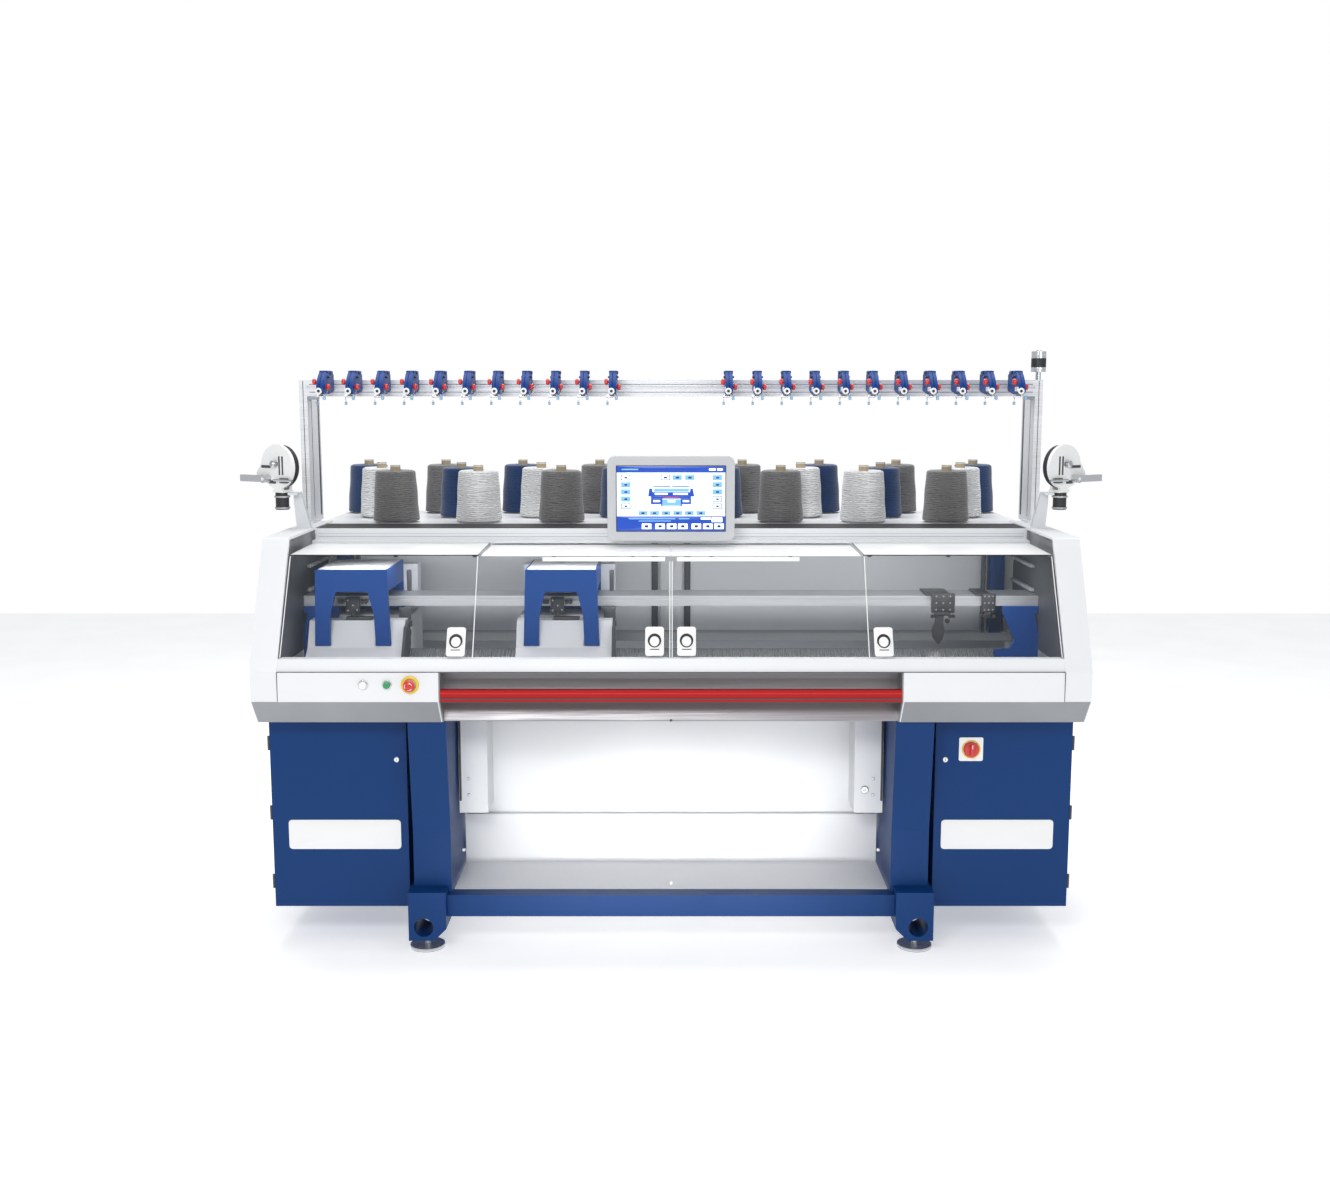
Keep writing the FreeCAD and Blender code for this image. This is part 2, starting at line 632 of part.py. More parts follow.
def carriage(side, centre):
    """One knitting carriage: front and rear cam boxes joined by the hood over the beam."""
    name = f"{side}_carriage"
    half = d.hood_width / 2
    crown = d.hood_crown / 2
    leg = half - d.hood_leg
    skirt = d.hood_top - d.hood_skirt
    outline = [
        (centre - half, d.hood_leg_bottom),
        (centre - half + 8, d.hood_top),
        (centre + half - 8, d.hood_top),
        (centre + half, d.hood_leg_bottom),
        (centre + leg, d.hood_leg_bottom),
        (centre + leg - 4, d.hood_leg_bottom + 110),
        (centre + crown, skirt),
        (centre - crown, skirt),
        (centre - leg + 4, d.hood_leg_bottom + 110),
        (centre - leg, d.hood_leg_bottom),
    ]
    face = front_prism(f"{name}_face", outline, d.hood_front, d.hood_wall)
    lid = block(f"{name}_lid", (centre - half + 8, d.hood_front + 1, d.hood_top - d.hood_wall),
                (centre + half - 8, d.hood_back, d.hood_top))
    sides = []
    for edge, low in (("a", centre - half + 8), ("b", centre + half - 8 - d.hood_wall)):
        sides.append(block(f"{name}_skirt_{edge}", (low, d.hood_front + 1, skirt),
                           (low + d.hood_wall, d.hood_back, d.hood_top)))
    rear = block(f"{name}_rear_leg", (centre - half + 8, d.hood_back - d.hood_wall, d.cam_top),
                 (centre + half - 8, d.hood_back, d.hood_top))
    hood = fuse(f"{name}_hood_blank", face, lid, rear, *sides)
    keep(f"carriage_hood_{side}", hood)
    slot = d.cam_slot / 2
    rail = d.bed_middle - d.bed_half_depth
    top_front = d.hood_front + 45
    start = centre + d.cam_shift - d.cam_width / 2
    bed_slope = d.needle_drop / (d.needle_reach - d.needle_gap / 2)
    lift = d.needle_top + 8
    outline = [
        (rail - 8, d.rail_top + d.run_gap),
        (rail - 8, d.rail_top + 15),
        (d.hood_front - 55, d.rail_top + 40),
        (d.hood_front + 2, d.hood_leg_bottom - 8),
        (top_front, d.cam_top),
        (d.bed_middle - slot, d.cam_top),
        (d.bed_middle - slot, lift - (slot - d.needle_gap / 2) * bed_slope),
        (d.bed_middle - d.needle_reach - 2, lift - d.needle_drop),
        (rail + d.rail_width + 2, lift - d.needle_drop),
        (rail + d.rail_width + 2, d.rail_top + d.run_gap),
    ]
    box = side_prism(f"{name}_cam_box", outline, start, d.cam_width)
    pockets = []
    for edge, low in (("a", centre - half - 1), ("b", centre + leg - 5)):
        corner = (low, d.hood_front - 1, d.hood_leg_bottom - 0.5)
        pockets.append(block(f"{name}_pocket_{edge}", corner,
                             (low + d.hood_leg + 6, d.hood_front + d.hood_wall + 0.5,
                              d.cam_top + 1)))
    keep(f"carriage_cam_box_{side}", cut(f"{name}_front_box", box, *pockets))
    mirror = d.bed_middle * 2
    tail = mirror - (rail - 8)
    outline = [
        (tail, d.rail_top + d.run_gap),
        (tail, d.rear_cover_top),
        (d.rear_cover_front, d.rear_cover_top),
        (d.rear_cover_front, d.cam_top - 0.5),
        (mirror - d.bed_middle + slot, d.cam_top - 0.5),
        (mirror - d.bed_middle + slot, lift - (slot - d.needle_gap / 2) * bed_slope),
        (mirror - d.bed_middle + d.needle_reach + 2, lift - d.needle_drop),
        (mirror - rail - d.rail_width - 2, lift - d.needle_drop),
        (mirror - rail - d.rail_width - 2, d.rail_top + d.run_gap),
    ]
    box = side_prism(f"{name}_rear_cam_box", outline, start, d.cam_width)
    clamp = block(f"{name}_clamp", (centre - 30, tail - 1, d.pulley_bottom),
                  (centre + 30, d.pulley_along - d.pulley_radius - d.belt_thick - 1,
                   d.pulley_bottom + d.belt_width))
    keep(f"carriage_rear_box_{side}", fuse(f"{name}_rear_box", box, clamp))


def carriers():
    """Two yarn carriers parked on the beam's right: one with a long blade, one short."""
    for name, low, width, blade in (("yarn_carrier_long", 922, 82, 113),
                                    ("yarn_carrier_short", 1100, 48, 22)):
        low = Size(low, formula(low))
        front = d.beam_front - 14
        plate_low = d.beam_bottom - 24
        top = d.beam_bottom + d.beam_height
        plate = block(f"{name}_plate", (low, front, plate_low),
                      (low + width, d.beam_front - d.run_gap, top + 10))
        saddle = block(f"{name}_saddle", (low - 20, front, top + d.run_gap),
                       (low + width - 6, d.beam_back - 10, top + 8))
        blade_body = front_prism(f"{name}_blade", [
            (low + width * 0.1, plate_low + 6),
            (low + width * 0.5, plate_low + 6),
            (low + width * 0.35, plate_low - blade),
            (low + width * 0.2, plate_low - blade),
        ], front + 3, 7)
        keep(name, fuse(f"{name}_whole", plate, saddle, blade_body))


def pane_outline(step):
    """Side view of one bent window pane, step back from the front track."""
    front = d.pane_bottom_front + step
    thick = d.pane_thick
    knee = d.pane_knee_front + step
    lower = step * 0.5
    return [
        (front, d.pane_bottom),
        (knee, d.pane_knee - lower),
        (d.pane_back, d.pane_knee + d.pane_rise - lower),
        (d.pane_back, d.pane_knee + d.pane_rise - thick - lower),
        (knee + thick, d.pane_knee - thick - lower),
        (front + thick * 1.2, d.pane_bottom),
    ]


def windows():
    """Four bent clear panes: the outer two in the front track, the middle two behind them."""
    width = (d.cover_inner - 1) / 2
    for name, step, start in (
            ("window_outer_left", 0, -d.cover_inner + 1),
            ("window_inner_left", d.track_step, -width),
            ("window_inner_right", d.track_step, Size(0.5, "0.5")),
            ("window_outer_right", 0, width)):
        step = step if isinstance(step, Size) else Size(step, formula(step))
        length = width - 0.5
        keep(name, side_prism(f"{name}_pane", pane_outline(step), start, length))
    low = d.pane_knee + d.pane_rise + 1
    keep("window_track", block("upper_track", (-d.cover_inner, d.pane_back - 40, low),
                               (d.cover_inner, d.table_front - d.fascia_thick, low + 9)))


def yarn_table():
    """Dark top for the cones with a white strip along its front edge."""
    # The plate is narrower in front, where it lies between the end covers.
    notch = d.cover_back + 1
    outline = [
        (-d.cover_inner, d.table_front), (d.cover_inner, d.table_front),
        (d.cover_inner, notch), (d.table_half, notch),
        (d.table_half, d.table_back), (-d.table_half, d.table_back),
        (-d.table_half, notch), (-d.cover_inner, notch),
    ]
    plate = top_prism("table_plate", outline, d.table_top - d.table_thick, d.table_thick)
    foot = d.peg_foot_thick
    base = rod("peg_base", "z", (0, 0, 0), d.peg_foot, foot)
    peg = rod("peg_rod", "z", (0, 0, foot - 1), d.peg_radius, d.cone_height * 0.5)
    pegs = copies("pegs", fuse("cone_peg", base, peg), cone_spots())
    keep("yarn_table", group("table_and_pegs", [plate, pegs]))
    keep("table_fascia", block("fascia_strip", (-d.fascia_half, d.table_front - d.fascia_thick,
                                                d.fascia_bottom),
                               (d.fascia_half, d.table_front, d.table_top + 2)))


def cone_spots():
    """Where the cones stand: three staggered rows, mirrored about the middle."""
    spots = []
    for row in range(3):
        for index in range(4):
            across = d.cone_first + d.row_shift * row + d.cone_pitch * index
            along = d.row_front + d.row_pitch * row
            spots += [(across * side, along, d.table_top) for side in (-1, 1)]
    return spots


def cones():
    """Twenty-four wound cones of yarn, each on its paper core over a peg."""
    foot = d.peg_foot_thick
    spot = (0, 0, foot + d.core_foot)
    cone = rod("cone_body", "z", spot, d.cone_base, d.cone_height, d.cone_crown)
    bore = rod("cone_bore", "z", (0, 0, foot), d.core_radius, d.cone_height + 10)
    keep("yarn_cones", copies("cones", cut("wound_cone", cone, bore), cone_spots()))
    height = d.core_foot + d.cone_height + d.core_proud
    tube = rod("core_outside", "z", (0, 0, foot), d.core_radius, height)
    bore = rod("core_bore", "z", (0, 0, foot - 1), d.core_radius - d.core_wall, height + 2)
    keep("cone_cores", copies("cores", cut("cone_core", tube, bore), cone_spots()))


def creel():
    """Two deep posts with a grooved cross bar that carries the yarn control heads."""
    post = block("post_profile", (d.post_outer - d.post_width, d.post_front, d.table_top + 5),
                 (d.post_outer, d.post_front + d.post_depth, d.bar_bottom + d.bar_height))
    foot = block("post_foot", (d.post_outer - d.post_width - 10, d.post_front, d.casing_top),
                 (d.post_outer, d.cover_back - 4, d.casing_top + 8))
    keep("creel_posts", pair("post_pair", fuse("creel_post", post, foot)))
    reach = d.post_outer - d.post_width
    bar = block("bar_profile", (-reach, d.post_front, d.bar_bottom),
                (reach, d.post_front + d.bar_depth, d.bar_bottom + d.bar_height))
    groove = block("bar_slot", (-reach, d.post_front, d.bar_bottom + 30),
                   (reach, d.post_front + 5, d.bar_bottom + 38))
    keep("creel_bar", cut("slotted_bar", bar, groove))
    spots = []
    for index in range(11):
        across = d.head_first + d.head_pitch * index
        spots += [(-across, 0, 0), (across, 0, 0)]
    middle = d.head_centre
    front = d.post_front - d.head_depth
    # The body is a thin leaf seen from the side, clamped to the bar's front face.
    leaf = [(0, -38), (0, -22), (14, 4), (40, 28), (78, 44), (150, 44), (156, 34),
            (d.head_depth, 30), (d.head_depth, -30), (120, -40), (60, -44)]
    outline = [(front + a, middle + b) for a, b in leaf]
    body = side_prism("head_leaf", outline, -d.head_half, d.head_half * 2)
    fork = rod("arm_pin_hole", "x", (-60, d.arm_pivot_along, d.arm_pivot_height),
               d.arm_pin + d.axle_gap, 120)
    boss = rod("head_boss", "x", (-d.head_half, d.arm_pivot_along, d.arm_pivot_height),
               d.arm_pin * 2, d.head_half)
    body = cut("head_body", fuse("head_blank", body, boss), fork)
    keep("yarn_heads", copies("heads", body, spots))
    pin = rod("arm_pin_rod", "x", (-24, d.arm_pivot_along, d.arm_pivot_height), d.arm_pin, 30)
    wire = rod("arm_wire_rod", "z",
               (-20, d.arm_pivot_along, d.arm_pivot_height - d.arm_length), d.arm_wire,
               d.arm_length)
    eye = rod("arm_eye", "x", (-24, d.arm_pivot_along, d.arm_pivot_height - d.arm_length),
              7, 8)
    keep("tension_arms", copies("arms", fuse("tension_arm", pin, wire, eye), spots))


def lamp():
    """Signal lamp on a stem at the top of the right-hand post."""
    across = d.post_outer - d.post_width / 2
    along = d.post_front + 20
    top = d.bar_bottom + d.bar_height
    stem = rod("lamp_stem_rod", "z", (across, along, top), d.lamp_stem, d.lamp_bottom - top + 1)
    can = rod("lamp_can", "z", (across, along, d.lamp_bottom), d.lamp_radius, d.lamp_height)
    cap = rod("lamp_cap", "z", (across, along, d.lamp_bottom + d.lamp_height - 1), 9, 6)
    keep("signal_lamp", fuse("lamp_whole", stem, can, cap))


def screen_unit():
    """Touch screen on a hinge, held by an arm that stands on the yarn table."""
    low = d.screen_bottom
    high = low + d.screen_height
    outline = [(-d.screen_half, low), (d.screen_half, low), (d.screen_half, high),
               (-d.screen_half, high)]
    case = front_prism("screen_case", outline, Size(0, "0"), d.screen_depth,
                       fillet=(d.screen_corner, lambda at: True))
    barrel = d.screen_barrel
    centre = (d.screen_hinge_along, d.screen_hinge_height)
    ears = []
    outer = -d.mount_half - d.screen_ear - 0.5
    for side, start in (("left", outer), ("right", d.mount_half + 0.5)):
        ears.append(block(f"{side}_ear", (start, d.screen_depth - 1, centre[1] - barrel),
                          (start + d.screen_ear, centre[0], centre[1] + barrel)))
        ears.append(rod(f"{side}_ear_round", "x", (start, *centre), barrel, d.screen_ear))
    bore = rod("ear_bore", "x", (-d.mount_half - d.screen_ear - 2, *centre), 6 + d.axle_gap,
               d.mount_half * 2 + d.screen_ear * 2 + 4)
    keep("touch_screen", cut("screen_whole", fuse("screen_blank", case, *ears), bore))
    knuckle = rod("mount_knuckle", "x", (-d.mount_half, *centre), barrel, d.mount_half * 2)
    pin = rod("mount_pin", "x", (-d.mount_half - d.screen_ear, *centre), 6,
              d.mount_half * 2 + d.screen_ear * 2)
    arm = block("mount_arm", (-d.mount_half, centre[0], centre[1] - barrel),
                (d.mount_half, d.table_front + 42, centre[1] + barrel))
    stand = block("mount_stand", (-d.mount_half, d.table_front + 30, d.table_top + 2),
                  (d.mount_half, d.table_front + 42, centre[1]))
    foot = block("mount_foot", (-80, d.table_front + 10, d.table_top), (80, d.table_front + 70,
                                                                         d.table_top + 6))
    keep("screen_mount", fuse("mount_whole", knuckle, pin, arm, stand, foot))


def aprons():
    """White sheets under the bed: the upper one with side cheeks, the lower one with a shelf."""
    top = d.bed_bottom
    sheet_size = d.sheet
    outer = d.apron_half
    back = block("upper_back", (-outer, d.apron_front, d.apron_split + 0.3),
                 (outer, d.apron_front + sheet_size, top))
    cheek = block("cheek_face", (d.cheek_inner, d.cheek_front, d.cheek_bottom),
                  (outer, d.cheek_front + sheet_size, top))
    side = block("cheek_side", (d.cheek_inner, d.cheek_front + 1, d.cheek_bottom),
                 (d.cheek_inner + sheet_size, d.apron_front + 1, top))
    sides = fuse("cheek", cheek, side)
    keep("apron_upper", fuse("upper_sheet", back, sides, mirrored("cheek_mirror", sides)))
    front = d.apron_lower_front
    back = block("lower_back", (-outer, front, d.apron_bottom), (outer, front + sheet_size,
                                                                 d.apron_split))
    tie = block("lower_tie", (-outer, front + 1, d.apron_split - 8),
                (outer, d.apron_front + 12, d.apron_split))
    ledge = block("lower_ledge", (-outer, d.foot_front + 100, d.apron_bottom),
                  (outer, front + 1, d.apron_bottom + 3))
    keep("apron_lower", fuse("lower_sheet", back, tie, ledge))


def side_feeders():
    """A driven feed wheel in a round housing at each end, with a swing arm and a motor below."""
    # Built square to the machine at the origin, then turned outwards and set in place.
    radius = d.wheel_radius
    thick = d.housing_thick
    wheel = rod("wheel_disc", "y", (0, thick + 0.3, 0), radius - 6, d.wheel_width)
    bore = rod("wheel_bore", "y", (0, thick - 1, 0), d.axle_radius + d.axle_gap, d.wheel_width + 10)
    wheel = cut("feed_wheel", wheel, bore)
    rim = rod("housing_disc", "y", (0, 0, 0), radius, thick)
    wing = front_prism("housing_wing", [
        (-radius * 0.4, radius * 0.9), (radius * 0.5, radius * 0.86), (radius * 1.3, -radius * 0.3),
        (radius * 1.3, -radius * 0.62), (0, -radius * 0.7)], Size(0, "0"), thick)
    axle = rod("wheel_axle", "y", (0, 1, 0), d.axle_radius, thick + d.wheel_width + 8)
    hub = rod("rear_plate", "y", (0, thick + d.wheel_width + 0.6, 0), radius * 0.4, 12)
    back = block("housing_back", (-20, thick + d.wheel_width + 0.6, -radius - 14),
                 (20, thick + d.wheel_width + 12.6, -10))
    floor = block("housing_floor", (-26, 0, -radius - 14), (26, thick + d.wheel_width + 12.6,
                                                            -radius - 4))
    neck = block("housing_neck", (-20, 0, -radius - 5), (20, thick, -radius * 0.8))
    pivot = rod("arm_axle", "y", (radius * 0.55, -30, -radius * 0.55), 6, 31)
    housing = fuse("feeder_housing", rim, wing, axle, hub, back, floor, neck, pivot)
    motor = rod("feeder_motor_can", "z", (0, 22, -radius - 14 - d.feeder_motor_height),
                d.feeder_motor_radius, d.feeder_motor_height)
    sleeve = rod("arm_sleeve", "y", (radius * 0.55, -29, -radius * 0.55), 15, 28.7)
    lever = block("arm_lever", (radius * 0.55, -26, -radius * 0.55 - 12),
                  (radius * 2.05, -8, -radius * 0.55 + 12))
    bore = rod("arm_bore", "y", (radius * 0.55, -40, -radius * 0.55), 6 + d.axle_gap, 60)
    arm = cut("feeder_arm", fuse("arm_blank", sleeve, lever), bore)
    turn = FreeCAD.Rotation(FreeCAD.Vector(0, 0, 1), d.feeder_yaw.value)
    for name, thing in (("feed_wheels", wheel), ("feeder_housings", housing),
                        ("feeder_motors", motor), ("feeder_arms", arm)):
        link = doc.addObject("App::Link", f"{name}_right")
        link.LinkedObject = group(f"{name}_square", [thing])
        link.Placement = FreeCAD.Placement(FreeCAD.Vector(), turn)
        place(link, d.wheel_across, d.wheel_along, d.wheel_height)
        right = group(f"{name}_turned", [link])
        if name in ("feed_wheels", "feeder_arms"):
            single = name[:-1]
            keep(f"{single}_right", right)
            keep(f"{single}_left", mirrored(f"{name}_left", right))
        else:
            keep(name, pair(f"{name}_pair", right))
    floor_low = d.wheel_height - radius - 14
    bracket = front_prism("feeder_bracket", [
        (d.cover_outer - 80, d.casing_top), (d.cover_outer - 30, d.casing_top),
        (d.wheel_across - 50, floor_low - 40), (d.wheel_across - 50, floor_low),
        (d.wheel_across - 74, floor_low)], d.wheel_along + 30, 26)
    shelf = block("bracket_shelf", (d.wheel_across - 74, d.wheel_along - 14, floor_low - 8),
                  (d.wheel_across - 40, d.wheel_along + 56, floor_low))
    whole = fuse("feeder_bracket_whole", bracket, shelf)
    keep("feeder_brackets", pair("feeder_bracket_pair", whole))


def write_steps():
    """Checks every object, then writes one STEP file for each sub-part."""
    doc.recompute()
    for thing in doc.Objects:
        if any(word in ("Invalid", "Error") for word in thing.State):
            raise RuntimeError(f"{thing.Label} failed: {thing.State}")
    for thing in pieces:
        if thing.Shape.isNull() or not thing.Shape.isValid() or not thing.Shape.Solids:
            raise RuntimeError(f"{thing.Label} has no valid shape")
    os.makedirs("parts", exist_ok=True)
    for thing in pieces:
        thing.Shape.exportStep(os.path.join("parts", f"{thing.Label}.step"))
        box = thing.Shape.BoundBox
        spans = " ".join(f"{a:.0f}..{b:.0f}" for a, b in (
            (box.XMin, box.XMax), (box.YMin, box.YMax), (box.ZMin, box.ZMax)))
        print(f"{thing.Label}: {len(thing.Shape.Solids)} solids, {spans}")
    print(len(pieces), "sub-parts written")


base_frame()
levelling_feet()
cabinets()
bed()
take_down()
belt_drive()
casing()
start_bar()
buttons()
feeder_beam()
carriage("left", -d.carriage_park)
carriage("right", d.carriage_pitch - d.carriage_park)
carriers()
windows()
yarn_table()
cones()
creel()
lamp()
screen_unit()
aprons()
side_feeders()
write_steps()
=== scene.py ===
import math

import bmesh
import bpy
import mathutils
import numpy as np
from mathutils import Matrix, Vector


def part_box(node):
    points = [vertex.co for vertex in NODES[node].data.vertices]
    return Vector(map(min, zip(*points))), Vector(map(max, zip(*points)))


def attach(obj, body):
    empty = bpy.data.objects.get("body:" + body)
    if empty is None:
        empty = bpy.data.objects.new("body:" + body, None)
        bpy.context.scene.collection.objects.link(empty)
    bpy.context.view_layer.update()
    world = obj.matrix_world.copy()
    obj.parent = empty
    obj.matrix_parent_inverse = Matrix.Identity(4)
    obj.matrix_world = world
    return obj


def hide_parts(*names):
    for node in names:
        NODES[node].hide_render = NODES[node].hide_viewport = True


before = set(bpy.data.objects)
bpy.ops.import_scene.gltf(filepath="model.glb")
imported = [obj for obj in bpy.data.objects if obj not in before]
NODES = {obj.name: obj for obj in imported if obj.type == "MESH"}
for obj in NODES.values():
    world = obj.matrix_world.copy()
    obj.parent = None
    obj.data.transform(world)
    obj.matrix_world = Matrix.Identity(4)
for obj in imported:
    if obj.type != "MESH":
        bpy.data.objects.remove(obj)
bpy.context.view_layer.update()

bl_info = {
    "name": "Flat knitting machine finishes",
    "version": (1, 0, 0),
    "blender": (4, 5, 0),
    "location": "3D View > Sidebar > Knitting machine",
    "description": "Adds the finishes and small pieces of a flat knitting machine to its frame",
    "category": "Object",
}

MACHINE = "machine"
UP = np.array([0.0, 0.0, 1.0])
RIGHT = (1, 0, 0)
FRONT = (0, -1, 0)  # towards the operator

FINISHES = {}
WHITE = (1, 1, 1, 1)
YARNS = ("yarn_light", "yarn_dark", "yarn_blue")
WINDING = "winding"
# The outputs of a surface's shader group, and the shader inputs that they lead to.
SURFACE = {"Colour": "Color", "Roughness": "Float", "Normal": "Vector"}
SURFACE_LINKS = {"Colour": "Base Color", "Roughness": "Roughness", "Normal": "Normal"}

# The camera: sensor width, and its focal length and sideways shift as shares of that.
SENSOR = 36
FOCAL_SHARE = 1440 / 1330
SIDE_SHIFT = -6 / 1330

# Sizes that the CAD's boxes don't give, in metres.
CONE_START, CONE_STEP_BACK, CONE_PITCH = 0.103, 0.096, 0.319
PLATE_ENDS = (0.940, 1.330)  # of the name plates, from the middle of the machine
LOCK_AT = (0.948, 0.665)
PANE_DEEP = 0.184  # of a pane's sloping part, to its knee
INNER_RISE, OUTER_RISE = 0.3195, 0.3255
CLAMP_FORWARD = 0.0155  # of the carriage clamps, before the beam's face
FEEDER_PLACE = (1.424, 0.060, 1.656)  # of the right feeder, from the screen's face
POST_WIDE = 0.030  # of a creel post
POST_AT, SHEET_AT = 1.225, 1.3035  # of the posts and sheets at both ends, from the middle
SHEET_FOOT, SHEET_NOSE, SHEET_TOP = 1.02, 1.049, 1.362
INNER_LONG, OUTER_LONG = 0.350, 0.368  # of the painted edge highlights up the panes


# --- what a user would change ---------------------------------------------------------------

def colour_setting(name, description, default):
    return bpy.props.FloatVectorProperty(name=name, description=description, default=default,
                                         subtype="COLOR", size=3, min=0, max=1)


def length_setting(name, description, default):
    return bpy.props.FloatProperty(name=name, description=description, default=default, min=0,
                                   unit="LENGTH")


class KnittingColours(bpy.types.PropertyGroup):
    """Base colours of the main finishes."""
    blue: colour_setting("Frame blue", "Paint of the frame, cabinets, doors and hoods",
                         (0.001, 0.036, 0.155))
    hood: colour_setting("Hood blue", "Paint of the carriage hoods and the beam's brackets",
                         (0.002, 0.060, 0.290))
    white: colour_setting("Cover white", "Paint of the covers, aprons and table",
                          (0.76, 0.77, 0.785))
    cam: colour_setting("Cam box grey", "Paint of the carriages' boxes", (0.70, 0.715, 0.74))
    red: colour_setting("Start bar red", "Enamel of the start bar", (0.40, 0.009, 0.009))
    yarn_light: colour_setting("Light yarn", "Yarn of the light cones", (0.78, 0.78, 0.78))
    yarn_dark: colour_setting("Grey yarn", "Yarn of the grey cones", (0.165, 0.163, 0.162))
    yarn_blue: colour_setting("Blue yarn", "Yarn of the blue cones", (0.007, 0.038, 0.130))


class KnittingSizes(bpy.types.PropertyGroup):
    """Sizes of the small pieces, and the place and strength of camera and lights."""
    camera_back: length_setting("Camera distance", "From the screen's face to the camera", 5.15)
    camera_height: length_setting("Camera height", "From the floor to the camera", 1.935)
    light: bpy.props.FloatProperty(name="Light", description="Strength of all the lights",
                                   default=1.0, min=0, subtype="FACTOR", soft_max=2)
    glow: bpy.props.FloatProperty(name="Display", description="Brightness of the display",
                                  default=1.0, min=0, subtype="FACTOR", soft_max=2)
    needle_pitch: length_setting("Needle pitch", "Distance between shown needles", 0.012)
    needle_thick: length_setting("Needle thickness", "Width of a needle's stem", 0.0028)
    # The pane strips are painted highlights along the clear pane edges.
    highlight_wide: length_setting("Pane edge highlight", "Width of the strips on the pane edges", 0.003)
    mat_deep: length_setting("Mat depth", "Depth of the mat under the cones", 0.19)
    feeder_yaw: bpy.props.FloatProperty(name="Feeder angle", default=math.radians(32),
                                        description="Turn of the side feeders outwards",
                                        unit="ROTATION")


def colours():
    return bpy.context.scene.knitting_colours


def sizes():
    return bpy.context.scene.knitting_sizes


# --- shapes ---------------------------------------------------------------------------------

def turned(profile, centre, axis=(0, 0, 1), count=32):
    """A turned shape: each (radius, distance) of the profile swept round the axis through
    centre, position = centre + axis * distance + radius * (cos a, sin a) across the axis."""
    axis = np.asarray(axis, float) / np.linalg.norm(axis)
    side = np.cross(axis, UP if abs(axis[2]) < 0.9 else (1.0, 0.0, 0.0))
    side /= np.linalg.norm(side)
    other = np.cross(axis, side)
    profile = np.asarray(profile, float)
    turn = np.linspace(0, 2 * np.pi, count, endpoint=False)
    rim = np.outer(np.cos(turn), side) + np.outer(np.sin(turn), other)
    along = np.asarray(centre, float) + profile[:, 1, None] * axis
    return rings_to_mesh(along[:, None, :] + profile[:, 0, None, None] * rim[None])


def ring_quads(many, count, closed=False):
    """Quads between neighbouring rings of points, and from the last to the first if closed."""
    spot = np.arange(many * count).reshape(many, count)
    if closed:
        spot = np.vstack([spot, spot[:1]])
    after = np.roll(spot, -1, axis=1)
    return np.stack([spot[:-1], after[:-1], after[1:], spot[1:]], axis=-1).reshape(-1, 4).tolist()


def rings_to_mesh(rings):
    """Quads between neighbouring rings of points, with a fan of triangles over each end, unless
    the last ring comes back to the first."""
    many, count, _ = rings.shape
    points, faces = rings.reshape(-1, 3), ring_quads(many, count)
    if not np.allclose(rings[0], rings[-1]):
        points = np.vstack([points, rings[0].mean(0), rings[-1].mean(0)])
        total, far = many * count, (many - 1) * count
        faces += [[total, (a + 1) % count, a] for a in range(count)]
        faces += [[total + 1, far + a, far + (a + 1) % count] for a in range(count)]
    return points, faces


def tube(path, radius, count=8):
    """A round tube along a path: at each point a circle stands square to the path's direction."""
    path = np.asarray(path, float)
    way = np.gradient(path, axis=0)
    way /= np.linalg.norm(way, axis=1)[:, None]
    guide = np.array([0.0, 1.0, 0.0]) if abs(way[0][1]) < 0.9 else np.array([1.0, 0.0, 0.0])
    side = np.cross(way, guide)
    side /= np.linalg.norm(side, axis=1)[:, None]
    other = np.cross(way, side)
    turn = np.linspace(0, 2 * np.pi, count, endpoint=False)
    radius = np.broadcast_to(radius, len(path))
    circle = (np.cos(turn)[None, :, None] * side[:, None]
              + np.sin(turn)[None, :, None] * other[:, None])
    return rings_to_mesh(path[:, None] + radius[:, None, None] * circle)


def rounded_outline(width, height, radius, steps=4):
    """Points round a rectangle whose corners are quarter circles, about its own middle."""
    turn = np.linspace(0, np.pi / 2, steps)
    corner = np.stack([np.cos(turn), np.sin(turn)], axis=1) * radius
    parts = []
    for index, (a, b) in enumerate(((1, 1), (-1, 1), (-1, -1), (1, -1))):
        c, s = math.cos(index * math.pi / 2), math.sin(index * math.pi / 2)
        swung = corner @ np.array([[c, s], [-s, c]])
        parts.append(swung + (a * (width / 2 - radius), b * (height / 2 - radius)))
    return np.vstack(parts)


def slab(low, high, radius=0.002, axis=1, edge=None):
    """A block with rounded corners along one axis and softened ends: its outline is carried
    from low to high and drawn in by the edge at both ends."""
    low, high = np.asarray(low, float), np.asarray(high, float)
    across = [index for index in range(3) if index != axis]
    size = high - low
    edge = min(radius, size[axis] / 3) * 0.6 if edge is None else edge
    radius = min(radius, size[across[0]] * 0.49, size[across[1]] * 0.49)
    rings = []
    for inset, at in ((edge, 0), (edge * 0.3, edge * 0.3), (0, edge), (0, size[axis] - edge),
                      (edge * 0.3, size[axis] - edge * 0.3), (edge, size[axis])):
        flat = rounded_outline(size[across[0]] - 2 * inset, size[across[1]] - 2 * inset,
                               max(radius - inset, radius * 0.2))
        ring = np.zeros((len(flat), 3))
        ring[:, across[0]] = flat[:, 0] + (low + high)[across[0]] / 2
        ring[:, across[1]] = flat[:, 1] + (low + high)[across[1]] / 2
        ring[:, axis] = low[axis] + at
        rings.append(ring)
    points, faces = rings_to_mesh(np.array(rings))
    if axis == 1:
        faces = [face[::-1] for face in faces]
    return points, faces


